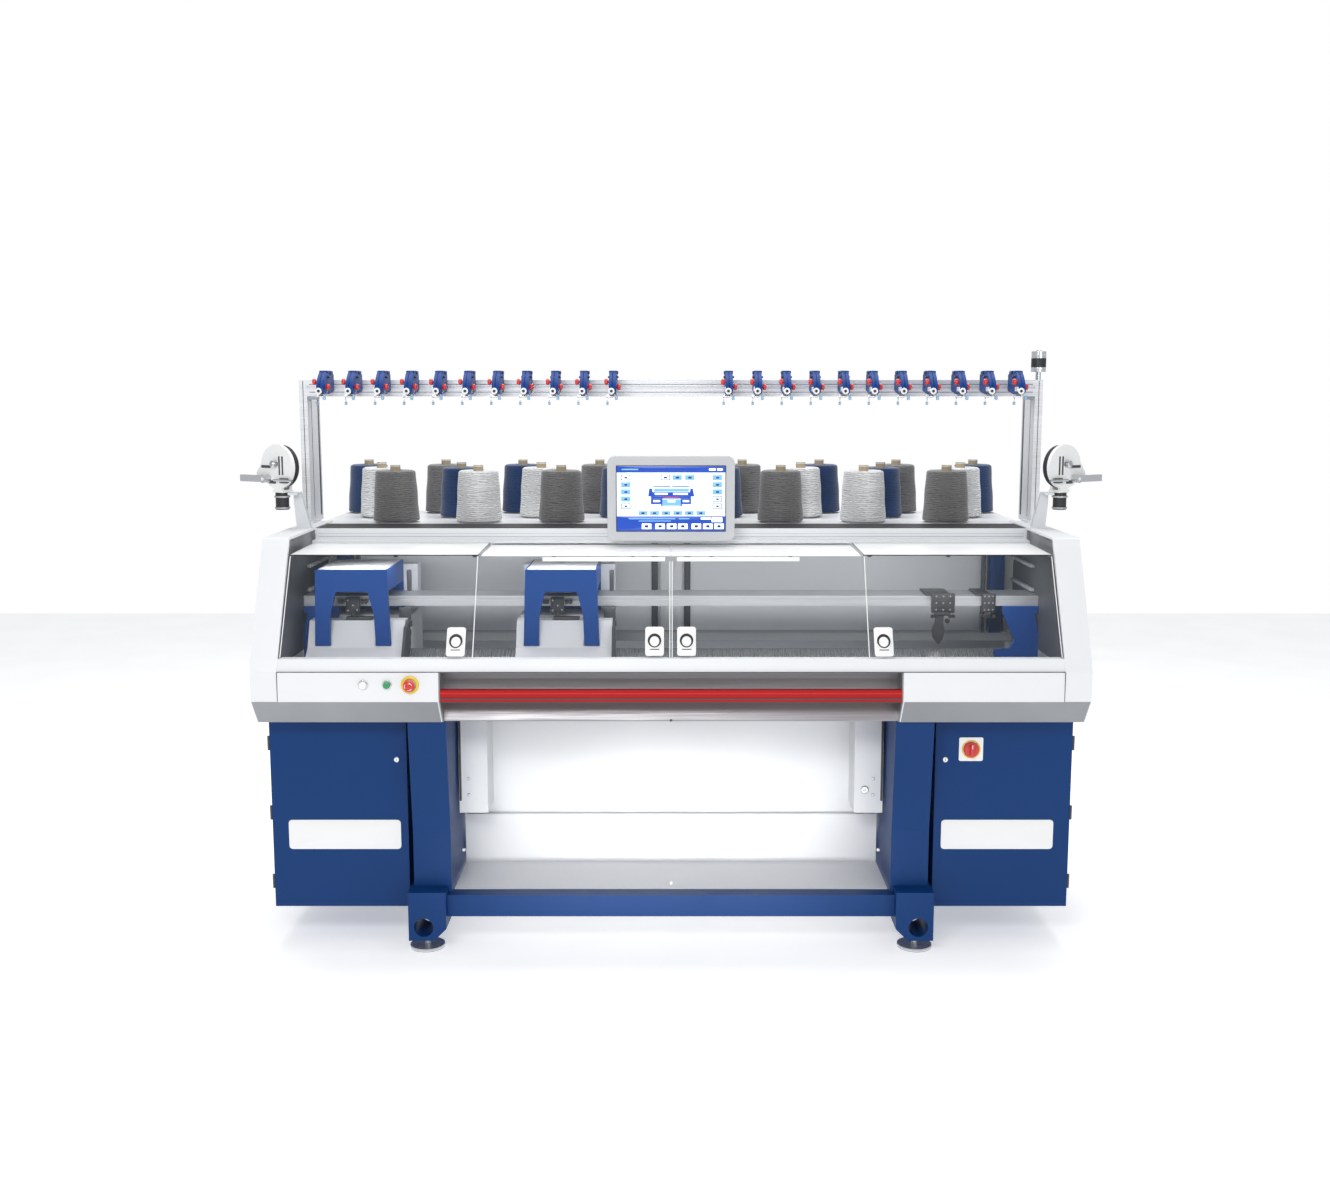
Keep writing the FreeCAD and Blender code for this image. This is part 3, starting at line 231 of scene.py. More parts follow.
def plate(outline, start, depth, axis=1):
    """A flat outline carried straight along one axis from start, closed by its two faces."""
    outline = np.asarray(outline, float)
    across = [index for index in range(3) if index != axis]
    points = np.zeros((2, len(outline), 3))
    points[:, :, across[0]] = outline[:, 0]
    points[:, :, across[1]] = outline[:, 1]
    points[:, :, axis] = np.array([start, start + depth])[:, None]
    count = len(outline)
    spot = np.arange(count)
    after = np.roll(spot, -1)
    faces = np.stack([spot, after, after + count, spot + count], axis=1).tolist()
    faces += [spot[::-1].tolist(), (spot + count).tolist()]
    return points.reshape(-1, 3), faces


def moved(shape, shift):
    return shape[0] + np.asarray(shift, float), shape[1]


def swung(shape, angle, about=(0, 0, 0)):
    """The shape turned about the upright through a point, x' = x cos a - y sin a."""
    c, s = math.cos(angle), math.sin(angle)
    turn = np.array([[c, s, 0], [-s, c, 0], [0, 0, 1]])
    about = np.asarray(about, float)
    return (shape[0] - about) @ turn + about, shape[1]


def flipped(shape):
    """The shape's mirror image across the machine's middle plane, with its faces turned back."""
    return shape[0] * (-1, 1, 1), [face[::-1] for face in shape[1]]


def smooth(mesh, degrees):
    """Smooth shading that keeps the edges sharper than the angle."""
    mesh.polygons.foreach_set("use_smooth", np.ones(len(mesh.polygons), bool))
    mesh.set_sharp_from_angle(angle=math.radians(degrees))


def piece(name, shapes, finish, body=MACHINE, instead=None, recalc=True):
    """Joins shapes into one object that rides on a body, and may stand instead of a CAD node."""
    points, faces, start = [], [], 0
    for spots, sides in shapes:
        points.append(spots)
        faces += [[corner + start for corner in side] for side in sides]
        start += len(spots)
    mesh = bpy.data.meshes.new(name)
    mesh.from_pydata(np.vstack(points).tolist(), [], faces)
    if recalc:
        work = bmesh.new()
        work.from_mesh(mesh)
        bmesh.ops.remove_doubles(work, verts=work.verts, dist=1e-7)
        bmesh.ops.recalc_face_normals(work, faces=work.faces)
        work.to_mesh(mesh)
        work.free()
    smooth(mesh, 35)
    mesh.materials.append(FINISHES[finish])
    thing = bpy.data.objects.new(name, mesh)
    bpy.context.scene.collection.objects.link(thing)
    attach(thing, body)
    if instead:
        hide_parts(instead)
    return thing


# --- finishes -------------------------------------------------------------------------------

def group_nodes(name, inputs, outputs):
    """An empty shader group with named sockets, and the sockets of its two end nodes."""
    tree = bpy.data.node_groups.new(name, "ShaderNodeTree")
    for label, value in inputs.items():
        kind = "Float" if isinstance(value, float) else "Color" if len(value) == 4 else "Vector"
        made = tree.interface.new_socket(label, in_out="INPUT", socket_type="NodeSocket" + kind)
        made.default_value = value
    for label, kind in outputs.items():
        tree.interface.new_socket(label, in_out="OUTPUT", socket_type="NodeSocket" + kind)
    start, end = tree.nodes.new("NodeGroupInput"), tree.nodes.new("NodeGroupOutput")
    return tree, start.outputs, end.inputs


def connect(tree, value, socket):
    """Gives a socket a plain value, or a link from another node's socket."""
    if isinstance(value, bpy.types.NodeSocket):
        tree.links.new(value, socket)
    else:
        socket.default_value = value


def add_node(tree, kind, inputs=None, **options):
    """A new shader node with its options set and its inputs connected."""
    made = tree.nodes.new("ShaderNode" + kind)
    for label, value in options.items():
        setattr(made, label, value)
    for label, value in (inputs or {}).items():
        connect(tree, value, made.inputs[label])
    return made


def maths(tree, operation, *values):
    return add_node(tree, "Math", dict(enumerate(values)), operation=operation).outputs[0]


def noise(tree, place, scale, detail=2):
    return add_node(tree, "TexNoise", {"Vector": place, "Scale": scale,
                                       "Detail": detail}).outputs["Fac"]


def bump(tree, height, strength, distance):
    return add_node(tree, "Bump", {"Height": height, "Strength": strength,
                                   "Distance": distance}).outputs["Normal"]


def mix_colour(tree, factor, first, second):
    return add_node(tree, "Mix", {"Factor": factor, "A": first, "B": second},
                    data_type="RGBA").outputs["Result"]


def spread(tree, value, low, high, start=0.3, end=0.7):
    """A value carried from the range start..end to low..high."""
    return add_node(tree, "MapRange", {"Value": value, "From Min": start, "From Max": end,
                                       "To Min": low, "To Max": high}).outputs["Result"]


def mottle(tree, start, end, share, low, high):
    """Colour between a group's two colours, and gloss round its roughness, led by one noise."""
    connect(tree, mix_colour(tree, spread(tree, share, 0, 1), start["Colour"],
                             start["Second colour"]), end["Colour"])
    connect(tree, maths(tree, "ADD", start["Roughness"], spread(tree, share, low, high)),
            end["Roughness"])


def coat_group():
    """Sprayed or moulded surface: slow drift of colour, a fine orange-peel height and uneven
    gloss."""
    tree, start, end = group_nodes("Coat", {"Colour": WHITE, "Second colour": WHITE,
                                            "Grain scale": 900.0, "Roughness": 0.4,
                                            "Height": 0.1}, SURFACE)
    place = add_node(tree, "TexCoord").outputs["Object"]
    mottle(tree, start, end, noise(tree, place, 2.3, 4), -0.05, 0.07)
    fine = noise(tree, place, start["Grain scale"])
    connect(tree, bump(tree, fine, start["Height"], 0.0004), end["Normal"])
    return tree


def brushed_group():
    """Metal drawn or brushed along X: noise stretched along the grain drives gloss and height."""
    tree, start, end = group_nodes("Brushed", {"Colour": WHITE, "Second colour": WHITE,
                                               "Roughness": 0.3, "Grain": (4, 300, 300)}, SURFACE)
    place = add_node(tree, "TexCoord").outputs["Object"]
    stretch = add_node(tree, "VectorMath", {0: place, 1: start["Grain"]}, operation="MULTIPLY")
    lines = noise(tree, stretch.outputs["Vector"], 1.0, 3)
    mottle(tree, start, end, lines, -0.08, 0.1)
    connect(tree, bump(tree, lines, 0.12, 0.0003), end["Normal"])
    return tree


def yarn_group():
    """Cross-wound yarn: two sets of fine slanting bands on the piece's own UV map, u turns round
    and v up the cone, mixed with fibre noise."""
    tree, start, end = group_nodes("Wound yarn", {"Colour": WHITE, "Shadow colour": (0, 0, 0, 1),
                                                  "Light colour": WHITE},
                                   {"Colour": "Color", "Height": "Float"})
    place = add_node(tree, "UVMap", uv_map=WINDING).outputs["UV"]
    bands = []
    for slant in (2.0, -2.0):
        lean = add_node(tree, "VectorMath", {0: place, 1: (slant, 25.0, 0)},
                        operation="DOT_PRODUCT").outputs["Value"]
        warped = maths(tree, "MULTIPLY_ADD", noise(tree, place, 14), 2.2, lean)
        bands.append(maths(tree, "PINGPONG", warped, 0.5))
    both = maths(tree, "MINIMUM", *bands)
    fibre = noise(tree, place, 180, 4)
    colour = mix_colour(tree, spread(tree, both, 1, 0, 0.0, 0.22), start["Colour"],
                        start["Shadow colour"])
    colour = mix_colour(tree, spread(tree, fibre, 0, 0.5, 0.45, 0.75), colour,
                        start["Light colour"])
    connect(tree, colour, end["Colour"])
    connect(tree, maths(tree, "MULTIPLY_ADD", fibre, 0.35, both), end["Height"])
    return tree


def shader(name):
    made = bpy.data.materials.new(name)
    made.use_nodes = True
    return made, made.node_tree, made.node_tree.nodes["Principled BSDF"]


def shade(colour, factor):
    return tuple(min(1.0, part * factor) for part in colour[:3]) + (1.0,)


def surfaced(name, group, make_group, inputs, links, sockets):
    """A material led by a shader group: links pairs the group's outputs with the shader's
    inputs, and sockets sets plain values."""
    made, tree, base = shader(name)
    mixed = add_node(tree, "Group", inputs,
                     node_tree=bpy.data.node_groups.get(group) or make_group())
    for label, socket in links.items():
        tree.links.new(mixed.outputs[label], base.inputs[socket])
    for label, amount in sockets.items():
        base.inputs[label].default_value = amount
    return made, tree, base, mixed


def coated(name, colour, rough=0.4, drift=0.93, height=0.12, grain=900.0, coat=0.0, **sockets):
    """Paint, enamel, rubber or moulded plastic."""
    return surfaced(name, "Coat", coat_group,
                    {"Colour": shade(colour, 1.0), "Second colour": shade(colour, drift),
                     "Grain scale": grain, "Roughness": rough, "Height": height},
                    SURFACE_LINKS, {"Coat Weight": coat, **sockets})[0]


def brushed(name, colour, rough=0.3, drift=0.85, grain=(4, 300, 300), metallic=0.9):
    """Drawn, ground or brushed metal."""
    return surfaced(name, "Brushed", brushed_group,
                    {"Colour": shade(colour, 1.0), "Second colour": shade(colour, drift),
                     "Roughness": rough, "Grain": grain}, SURFACE_LINKS,
                    {"Metallic": metallic})[0]


def wound(name, colour):
    """Yarn on a cone."""
    made, tree, base, mixed = surfaced(
        name, "Wound yarn", yarn_group,
        {"Colour": shade(colour, 1.0), "Shadow colour": shade(colour, 0.35),
         "Light colour": shade(colour, 1.5)},
        {"Colour": "Base Color"}, {"Roughness": 0.9, "Sheen Weight": 0.3})
    connect(tree, bump(tree, mixed.outputs["Height"], 0.7, 0.002), base.inputs["Normal"])
    return made


def clear(name, colour, alpha, rough=0.06):
    """Clear acrylic: a faint tint that lets the light through, with a slow drift in its gloss."""
    made, tree, base = shader(name)
    drift = noise(tree, add_node(tree, "TexCoord").outputs["Object"], 5)
    connect(tree, spread(tree, drift, rough * 0.6, rough * 1.6), base.inputs["Roughness"])
    base.inputs["Base Color"].default_value = shade(colour, 1.0)
    base.inputs["Alpha"].default_value = alpha
    return made


def lit(name, colour, strength=1.0):
    """A glowing patch of a display, with a fine pixel grain in its brightness."""
    made, tree, base = shader(name)
    grain = noise(tree, add_node(tree, "TexCoord").outputs["Object"], 600)
    glow = mix_colour(tree, grain, shade(colour, 0.92), shade(colour, 1.0))
    for label, value in (("Base Color", glow), ("Emission Color", glow),
                         ("Emission Strength", strength), ("Roughness", 0.25)):
        connect(tree, value, base.inputs[label])
    return made


# --- places, from the frame -----------------------------------------------------------------

def corner(node, which):
    """(lowest, highest) corner of a CAD node along one axis: x, y or z."""
    low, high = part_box(node)
    index = "xyz".index(which)
    return low[index], high[index]


SCREEN_LEFT, SCREEN_RIGHT = corner("touch_screen", "x")
FACE = corner("touch_screen", "y")[0]
MIDDLE_X = (SCREEN_LEFT + SCREEN_RIGHT) / 2


# --- stage ----------------------------------------------------------------------------------

def area_light(name, place, aim, size, power):
    """A soft rectangular lamp at a place, turned to its aim."""
    lamp = bpy.data.lights.new(name, "AREA")
    lamp.shape = "RECTANGLE"
    lamp.size, lamp.size_y = size
    lamp.energy = power * sizes().light
    thing = bpy.data.objects.new(name, lamp)
    thing.location = place
    way = mathutils.Vector(aim) - mathutils.Vector(place)
    thing.rotation_euler = way.to_track_quat("-Z", "Y").to_euler()
    bpy.context.scene.collection.objects.link(thing)
    return lamp


def build_stage():
    """Camera, pale floor and soft studio light."""
    scene = bpy.context.scene
    eye = bpy.data.cameras.new("camera")
    eye.sensor_width = SENSOR
    eye.lens = SENSOR * FOCAL_SHARE
    eye.shift_x = SIDE_SHIFT
    eye.clip_end = 60
    camera = bpy.data.objects.new("camera", eye)
    camera.location = (0, FACE - sizes().camera_back, sizes().camera_height)
    camera.rotation_euler = (math.radians(82), 0, 0)
    scene.collection.objects.link(camera)
    scene.camera = camera

    mesh = bpy.data.meshes.new("floor")
    mesh.from_pydata([(-9, -8, 0), (9, -8, 0), (9, 7, 0), (-9, 7, 0)], [], [(0, 1, 2, 3)])
    mesh.materials.append(coated("floor_finish", (0.90, 0.90, 0.90), 0.7, height=0.02, grain=60,
                                 **{"Emission Color": WHITE, "Emission Strength": 0.42,
                                    "Specular IOR Level": 0.1}))
    floor = bpy.data.objects.new("floor", mesh)
    scene.collection.objects.link(floor)

    # The camera sees plain white behind the machine; the light on it is softer.
    world = bpy.data.worlds.new("studio")
    world.use_nodes = True
    tree = world.node_tree
    soft = tree.nodes["Background"]
    soft.inputs["Color"].default_value = (0.92, 0.94, 0.97, 1)
    soft.inputs["Strength"].default_value = 0.55
    seen = add_node(tree, "Background", {"Color": WHITE})
    path = add_node(tree, "LightPath")
    mixed = add_node(tree, "MixShader", {0: path.outputs["Is Camera Ray"],
                                         1: soft.outputs["Background"],
                                         2: seen.outputs["Background"]})
    connect(tree, mixed.outputs["Shader"], tree.nodes["World Output"].inputs["Surface"])
    scene.world = world
    scene.view_settings.view_transform = "Standard"
    scene.view_settings.look = "None"
    for name, place, aim, size, power in (
            ("key", (-0.9, -4.4, 3.2), (0, 0, 1.0), (2.2, 0.9), 84),
            ("fill", (2.8, -4.6, 2.0), (0, 0, 0.8), (2.4, 1.6), 20),
            ("low", (0, -2.3, 0.12), (0, -0.30, 0.28), (1.2, 0.12), 1.6),
            ("top", (0, 0.6, 4.6), (0, 0.3, 1.4), (5.0, 2.0), 120),
            ("inside", (0, -0.20, 1.352), (0, 0.10, 1.10), (2.4, 0.06), 3.4),
            ("rear", (0, 4.2, 3.2), (0, 0, 1.0), (4.0, 1.6), 40)):
        face = np.array([0, FACE, 0])
        lamp = area_light(name, face + place, face + aim, size, power)
        if name == "low":
            lamp.spread = math.radians(26)


# --- finishes of the CAD nodes --------------------------------------------------------------

def make_finishes():
    """Every finish once, by name."""
    paint, glow = colours(), sizes().glow
    dull = {"Specular IOR Level": 0.22}
    for name, label, colour, rough, height, options in (
            ("blue", "blue_paint", paint.blue, 0.42, 0.16, dull),
            ("blue_deep", "blue_deep_paint", (0.005, 0.032, 0.150), 0.42, 0.2, dull),
            ("white", "white_paint", paint.white, 0.4, 0.12, {"drift": 0.97}),
            ("hood_blue", "hood_paint", paint.hood, 0.42, 0.14, dull),
            ("grey", "grey_paint", (0.36, 0.38, 0.41), 0.42, 0.2, {}),
            ("light_grey", "light_grey_paint", (0.66, 0.68, 0.70), 0.45, 0.12, {"drift": 0.96}),
            ("cam_grey", "cam_grey_paint", paint.cam, 0.44, 0.16, {"drift": 0.96}),
            # A near-black, laid as painted shade on the sheets at both inner ends of the casing.
            ("inner_dark", "inner_dark_paint", (0.085, 0.09, 0.10), 0.5, 0.2, {}),
            # A mid grey, laid as painted shade on the white covers' downward lower bevels.
            ("bevel", "bevel_paint", (0.30, 0.31, 0.325), 0.5, 0.12, {"drift": 0.8}),
            # A lighter red, laid as a painted highlight along the top of the start bar.
            ("red_light", "red_light_enamel", (0.75, 0.035, 0.03), 0.4, 0.08, dull),
            ("dark", "dark_paint", (0.055, 0.058, 0.065), 0.42, 0.2, {}),
            ("red", "red_enamel", paint.red, 0.55, 0.1, dull),
            ("red_plastic", "red_plastic", (0.62, 0.030, 0.028), 0.3, 0.08, {"coat": 0.2}),
            ("white_plastic", "white_plastic", (0.83, 0.83, 0.82), 0.32, 0.08, {"drift": 0.97}),
            ("green_plastic", "green_plastic", (0.035, 0.30, 0.11), 0.3, 0.08, {}),
            ("yellow_plastic", "yellow_plastic", (0.78, 0.56, 0.04), 0.35, 0.08, {}),
            ("black_plastic", "black_plastic", (0.022, 0.022, 0.024), 0.4, 0.25, {}),
            ("blue_plastic", "blue_plastic", (0.003, 0.045, 0.235), 0.4, 0.08, dull),
            ("rubber", "black_rubber", (0.020, 0.020, 0.021), 0.62, 0.4, {"grain": 500}),
            ("belt", "belt_rubber", (0.30, 0.31, 0.32), 0.6, 0.3, {"grain": 500}),
            ("card", "cone_card", (0.42, 0.34, 0.22), 0.7, 0.3, {"grain": 400}),
            ("bezel", "bezel_plastic", (0.52, 0.53, 0.54), 0.4, 0.14, {"drift": 0.96})):
        FINISHES[name] = coated(label, colour, rough, height=height, **options)
    for name, label, colour, rough, options in (
            ("profile", "profile_aluminium", (0.80, 0.81, 0.83), 0.5, {"metallic": 0.4}),
            ("carrier", "carrier_steel", (0.085, 0.087, 0.092), 0.38, {"metallic": 0.7}),
            ("tray", "tray_steel", (0.34, 0.335, 0.345), 0.4, {"metallic": 0.8}),
            ("steel", "ground_steel", (0.60, 0.61, 0.63), 0.3, {}),
            ("chrome", "bright_steel", (0.78, 0.79, 0.80), 0.16, {"drift": 0.95}),
            ("aluminium", "brushed_aluminium", (0.66, 0.67, 0.69), 0.46, {}),
            ("needle", "needle_steel", (0.52, 0.53, 0.55), 0.28, {"grain": (300, 6, 6)})):
        FINISHES[name] = brushed(label, colour, rough, **options)
    for name, colour, power in (
            ("pale", (0.66, 0.76, 0.92), 0.75), ("white", (0.90, 0.94, 1.0), 0.85),
            ("sky", (0.16, 0.38, 0.72), 0.6), ("deep", (0.010, 0.055, 0.36), 0.6),
            ("ink", (0.015, 0.030, 0.12), 0.4), ("red", (0.55, 0.03, 0.05), 0.5)):
        FINISHES[f"glow_{name}"] = lit(f"display_{name}", colour, power * glow)
    for name in YARNS:
        FINISHES[name] = wound(name, getattr(paint, name))
    FINISHES["roller_clear"] = clear("clear_blue_roller", (0.30, 0.52, 0.75), 0.72, 0.12)
    FINISHES["pane"] = clear("clear_pane", (0.40, 0.45, 0.50), 0.025)


NODE_FINISH = {
    "blue": "base_frame cabinet_shells cabinet_door_left cabinet_door_right",
    "hood_blue": "carriage_hood_left carriage_hood_right beam_brackets",
    "profile": "creel_posts creel_bar",
    "white": "end_covers front_panels front_sill apron_upper apron_lower table_fascia "
             "yarn_table",
    "light_grey": "back_wall window_track screen_mount feeder_brackets",
    "cam_grey": "carriage_cam_box_left carriage_cam_box_right carriage_rear_box_left "
                "carriage_rear_box_right",
    "grey": "bed_casting",
    "tray": "fabric_tray",
    "steel": "levelling_feet take_down_roller counter_roller tension_arms",
    "needle": "needle_beds",
    "aluminium": "feeder_beam carriage_rails drive_pulley idler_pulley feeder_arm_left "
                 "feeder_arm_right",
    "red": "start_bar",
    "red_plastic": "emergency_stop switch_knob",
    "white_plastic": "white_button feeder_housings feed_wheel_left feed_wheel_right",
    "green_plastic": "green_button",
    "blue_plastic": "yarn_heads",
    "black_plastic": "drive_motor feeder_motors yarn_carrier_short yarn_carrier_long",
    "chrome": "button_collars signal_lamp",
    "belt": "drive_belt",
    "card": "cone_cores",
    "bezel": "touch_screen",
    "pane": "window_outer_left window_inner_left window_inner_right window_outer_right",
    "yarn_light": "yarn_cones",
}


def finish_nodes():
    """Puts a finish on every carried-over CAD node."""
    for finish, names in NODE_FINISH.items():
        for name in names.split():
            mesh = NODES[name].data
            mesh.materials.clear()
            mesh.materials.append(FINISHES[finish])
            smooth(mesh, 30)
    missing = set(NODES) - set(" ".join(NODE_FINISH.values()).split())
    if missing:
        raise RuntimeError(f"no finish for {sorted(missing)}")


# --- yarn cones -----------------------------------------------------------------------------

def solid_spots(node):
    """(lowest, highest) corners of each loose solid of a CAD node, by joining its vertices."""
    mesh = NODES[node].data
    spots = np.empty(len(mesh.vertices) * 3)
    mesh.vertices.foreach_get("co", spots)
    spots = spots.reshape(-1, 3)
    edges = np.empty(len(mesh.edges) * 2, int)
    mesh.edges.foreach_get("vertices", edges)
    edges = edges.reshape(-1, 2)
    _, same = np.unique(np.round(spots, 5), axis=0, return_inverse=True)
    same = same.ravel()
    label = np.arange(same.max() + 1)
    ends = same[edges]
    while True:
        low = np.minimum(label[ends[:, 0]], label[ends[:, 1]])
        before = label.copy()
        np.minimum.at(label, ends[:, 0], low)
        np.minimum.at(label, ends[:, 1], low)
        label = label[label]
        if (label == before).all():
            break
    owner = label[same]
    return [(spots[owner == mark].min(0), spots[owner == mark].max(0))
            for mark in np.unique(owner)]


def yarn_cone(low, high, phase):
    """A cross-wound cone: a closed profile with a slightly swollen side, round shoulders and a
    bore, turned about its own axis, with a map of turns round and share of the height."""
    middle, wide, tall = (low + high) / 2, (high[0] - low[0]) / 2, high[2] - low[2]
    top, bore, count = wide * 0.867, 0.0198, 48
    rise = np.linspace(0, 1, 22)
    side = wide + (top - wide) * rise + 0.0012 * np.sin(np.pi * rise) * np.sin(phase + 9 * rise)
    side -= 0.0016
    profile = [(bore, 0.0), (side[0] - 0.008, 0.0), (side[0] - 0.002, 0.0012)]
    profile += [(a, 0.005 + (tall - 0.013) * b) for a, b in zip(side, rise)]
    profile += [(side[-1] - 0.003, tall - 0.003), (side[-1] - 0.010, tall),
                (bore + 0.012, tall - 0.0015), (bore, tall - 0.006)]
    profile = np.array(profile)
    turn = np.linspace(0, 2 * np.pi, count + 1)
    ring = np.stack([np.cos(turn), np.sin(turn)], axis=1)
    points = np.zeros((len(profile), count, 3))
    points[..., :2] = profile[:, None, :1] * ring[None, :-1] + middle[:2]
    points[..., 2] = low[2] + profile[:, None, 1]
    length = np.concatenate([[0], np.cumsum(np.hypot(*np.diff(profile, axis=0).T))])
    length = np.append(length, length[-1] + tall) / tall
    u = np.arange(count + 1) / count + phase
    grid = np.stack(np.meshgrid(u, length, indexing="xy"), axis=-1)
    maps = np.stack([grid[:-1, :-1], grid[:-1, 1:], grid[1:, 1:], grid[1:, :-1]], axis=2)
    faces = ring_quads(len(profile), count, closed=True)
    return (points.reshape(-1, 3), faces), maps.reshape(-1, 2)


def build_cones():
    """Twenty-four wound cones in three colours, and the caps of their cores."""
    spots = solid_spots("yarn_cones")
    rows = sorted({round(float(low[1]), 2) for low, _ in spots})
    order = (("yarn_light", "yarn_dark"), ("yarn_blue", "yarn_light"), ("yarn_dark", "yarn_blue"))
    bunches = {name: [] for name in YARNS}
    for low, high in spots:
        row = rows.index(round(float(low[1]), 2))
        across = abs((low[0] + high[0]) / 2)
        index = int(round((across - CONE_START - CONE_STEP_BACK * row) / CONE_PITCH))
        bunches[order[row][index % 2]].append(
            yarn_cone(low, high, 0.37 * index + 1.3 * row + across))
    for name, members in bunches.items():
        thing = piece(f"cones_{name}", [shape for shape, _ in members], name,
                      instead="yarn_cones", recalc=False)
        layer = thing.data.uv_layers.new(name=WINDING)
        layer.data.foreach_set("uv", np.vstack([spread_out for _, spread_out in members]).ravel())
    caps = [turned([(0.0150, 0.0), (0.0186, 0.0), (0.0190, 0.004), (0.0188, 0.018),
                    (0.0192, 0.0195), (0.0190, 0.0225), (0.0176, 0.0238), (0.0160, 0.0232),
                    (0.0154, 0.020), (0.0150, 0.004)],
                   ((low[0] + high[0]) / 2, (low[1] + high[1]) / 2, high[2] - 0.024), count=24)
            for low, high in solid_spots("cone_cores")]
    piece("core_caps", caps, "white_plastic")


# --- creel heads ----------------------------------------------------------------------------

def across_rings(outline, stations):
    """A (y, z) outline carried along X: at each (x, share) it is drawn about its own middle."""
    outline = np.asarray(outline, float)
    middle = outline.mean(0)
    rings = np.zeros((len(stations), len(outline), 3))
    for ring, (at, share) in zip(rings, stations):
        ring[:, 0] = at
        ring[:, 1:] = (outline - middle) * share + middle
    return rings_to_mesh(rings)


def head_shapes(across):
    """The shapes of one yarn control head, by finish, about its own place along the bar."""
    low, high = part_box("yarn_heads")
    front, base = low[1], high[2] - 0.044

    def spots(pairs):
        return [(front + a / 1000, base + b / 1000) for a, b in pairs]

    leaf = spots([(2, -34), (0, -28), (2, -19), (8, -8), (17, 5), (29, 17), (43, 28), (60, 38),
                  (80, 43.5), (112, 44), (148, 43.5), (153, 39), (157, 34), (179, 29.5),
                  (179, -29.5), (150, -34), (120, -39), (88, -42), (60, -43.5), (30, -41),
                  (10, -38)])
    body = across_rings(leaf, [(-0.0125, 0.93), (-0.0135, 0.97), (-0.0125, 1.0), (0.0095, 1.0),
                               (0.0125, 0.98), (0.0130, 0.93)])
    ridge = across_rings(leaf, [(-0.0030, 0.98), (-0.0026, 1.0), (0.0006, 1.0), (0.0010, 0.98)])
    clip = slab((-0.0165, front + 0.112, base + 0.0305), (0.0165, front + 0.150, base + 0.0430),
                0.003, axis=0)
    wing = slab((-0.0195, front + 0.076, base + 0.016), (0.0195, front + 0.096, base + 0.0235),
                0.0025, axis=0)
    plug = slab((-0.0150, front + 0.066, base + 0.034), (0.0150, front + 0.086, base + 0.0425),
                0.002, axis=0)
    shapes = {"blue_plastic": [body, clip], "blue_deep": [wing, ridge, plug]}
    knob = [(0.0, 0.0), (0.0042, 0.0), (0.0046, 0.004), (0.0098, 0.0055), (0.0114, 0.008),
            (0.0116, 0.013), (0.0100, 0.0165), (0.0050, 0.0180), (0.0, 0.0182)]
    shapes["red_plastic"] = [
        turned(knob, (-0.0125, front + 0.026, base + 0.002), (-1, 0, 0), 20),
        turned(knob, (0.0115, front + 0.040, base - 0.016), RIGHT, 20)]
    ring = [(0.0052, 0.0), (0.0112, 0.0), (0.0118, 0.001), (0.0118, 0.004), (0.0106, 0.0052),
            (0.0075, 0.0056), (0.0052, 0.004), (0.0052, 0.0)]
    at = (-0.004, front + 0.0045, base - 0.031)
    shapes["white_plastic"] = [turned(ring, at, FRONT, 24),
                               slab((-0.017, front + 0.004, base - 0.032),
                                    (-0.0135, front + 0.050, base - 0.016), 0.003, axis=0)]
    shapes["black_plastic"] = [turned([(0, 0), (0.0050, 0), (0.0050, 0.0035), (0, 0.004)], at,
                                      FRONT, 16),
                               slab((-0.008, front + 0.006, base - 0.0425),
                                    (0.008, front + 0.044, base - 0.0355), 0.002, axis=0)]
    bend = np.linspace(0, 1, 10)
    wire = np.stack([0.0135 + 0 * bend, front + 0.080 - 0.070 * bend,
                     base - 0.020 - 0.030 * np.sin(bend * 2.0)], axis=1)
    shapes["chrome"] = [tube(wire, 0.0013, 6)]
    roller = [(0, 0), (0.0070, 0), (0.0085, 0.0014), (0.0074, 0.005), (0.0085, 0.0086),
              (0.0070, 0.010), (0, 0.010)]
    shapes["roller_clear"] = [turned(roller, (0.0085, front + 0.012, base - 0.055), RIGHT, 18)]
    return {finish: [moved(shape, (across, 0, 0)) for shape in group]
            for finish, group in shapes.items()}


def build_heads():
    """Twenty-two yarn control heads with knobs, rings and clips."""
    bunches = {}
    for low, high in solid_spots("yarn_heads"):
        for finish, group in head_shapes((low[0] + high[0]) / 2).items():
            bunches.setdefault(finish, []).extend(group)
    for finish, shapes in bunches.items():
        piece(f"head_{finish}", shapes, finish,
              instead="yarn_heads" if finish == "blue_plastic" else None)


def build_arms():
    """The swinging wire arms under the heads, each with a clear roller at its end."""
    rollers, wires = [], []
    for low, high in solid_spots("tension_arms"):
        across, pivot = low[0] + 0.004, (low[1] + high[1]) / 2
        top, foot = high[2] - 0.005, low[2] + 0.007
        rollers.append(turned([(0.0, 0.0), (0.0055, 0.0), (0.0068, 0.0012), (0.0058, 0.004),
                               (0.0068, 0.0068), (0.0055, 0.008), (0.0, 0.008)],
                              (across - 0.004, pivot, foot), RIGHT, 20))
        bend = np.linspace(0, 1, 7)
        path = np.stack([across + 0 * bend, pivot - 0.004 * np.sin(np.pi * bend),
                         top - (top - foot) * bend], axis=1)
        wires.append(tube(path, 0.0016, 6))
        wires.append(turned([(0, 0), (0.0046, 0), (0.0049, 0.001), (0.0049, 0.027),
                             (0.0046, 0.028), (0, 0.028)],
                            (across - 0.0035, pivot, top), RIGHT, 16))
    piece("arm_rollers", rollers, "roller_clear", "tension_arms", instead="tension_arms")
    piece("arm_wires", wires, "chrome", "tension_arms")


# --- controls, plates and windows -----------------------------------------------------------

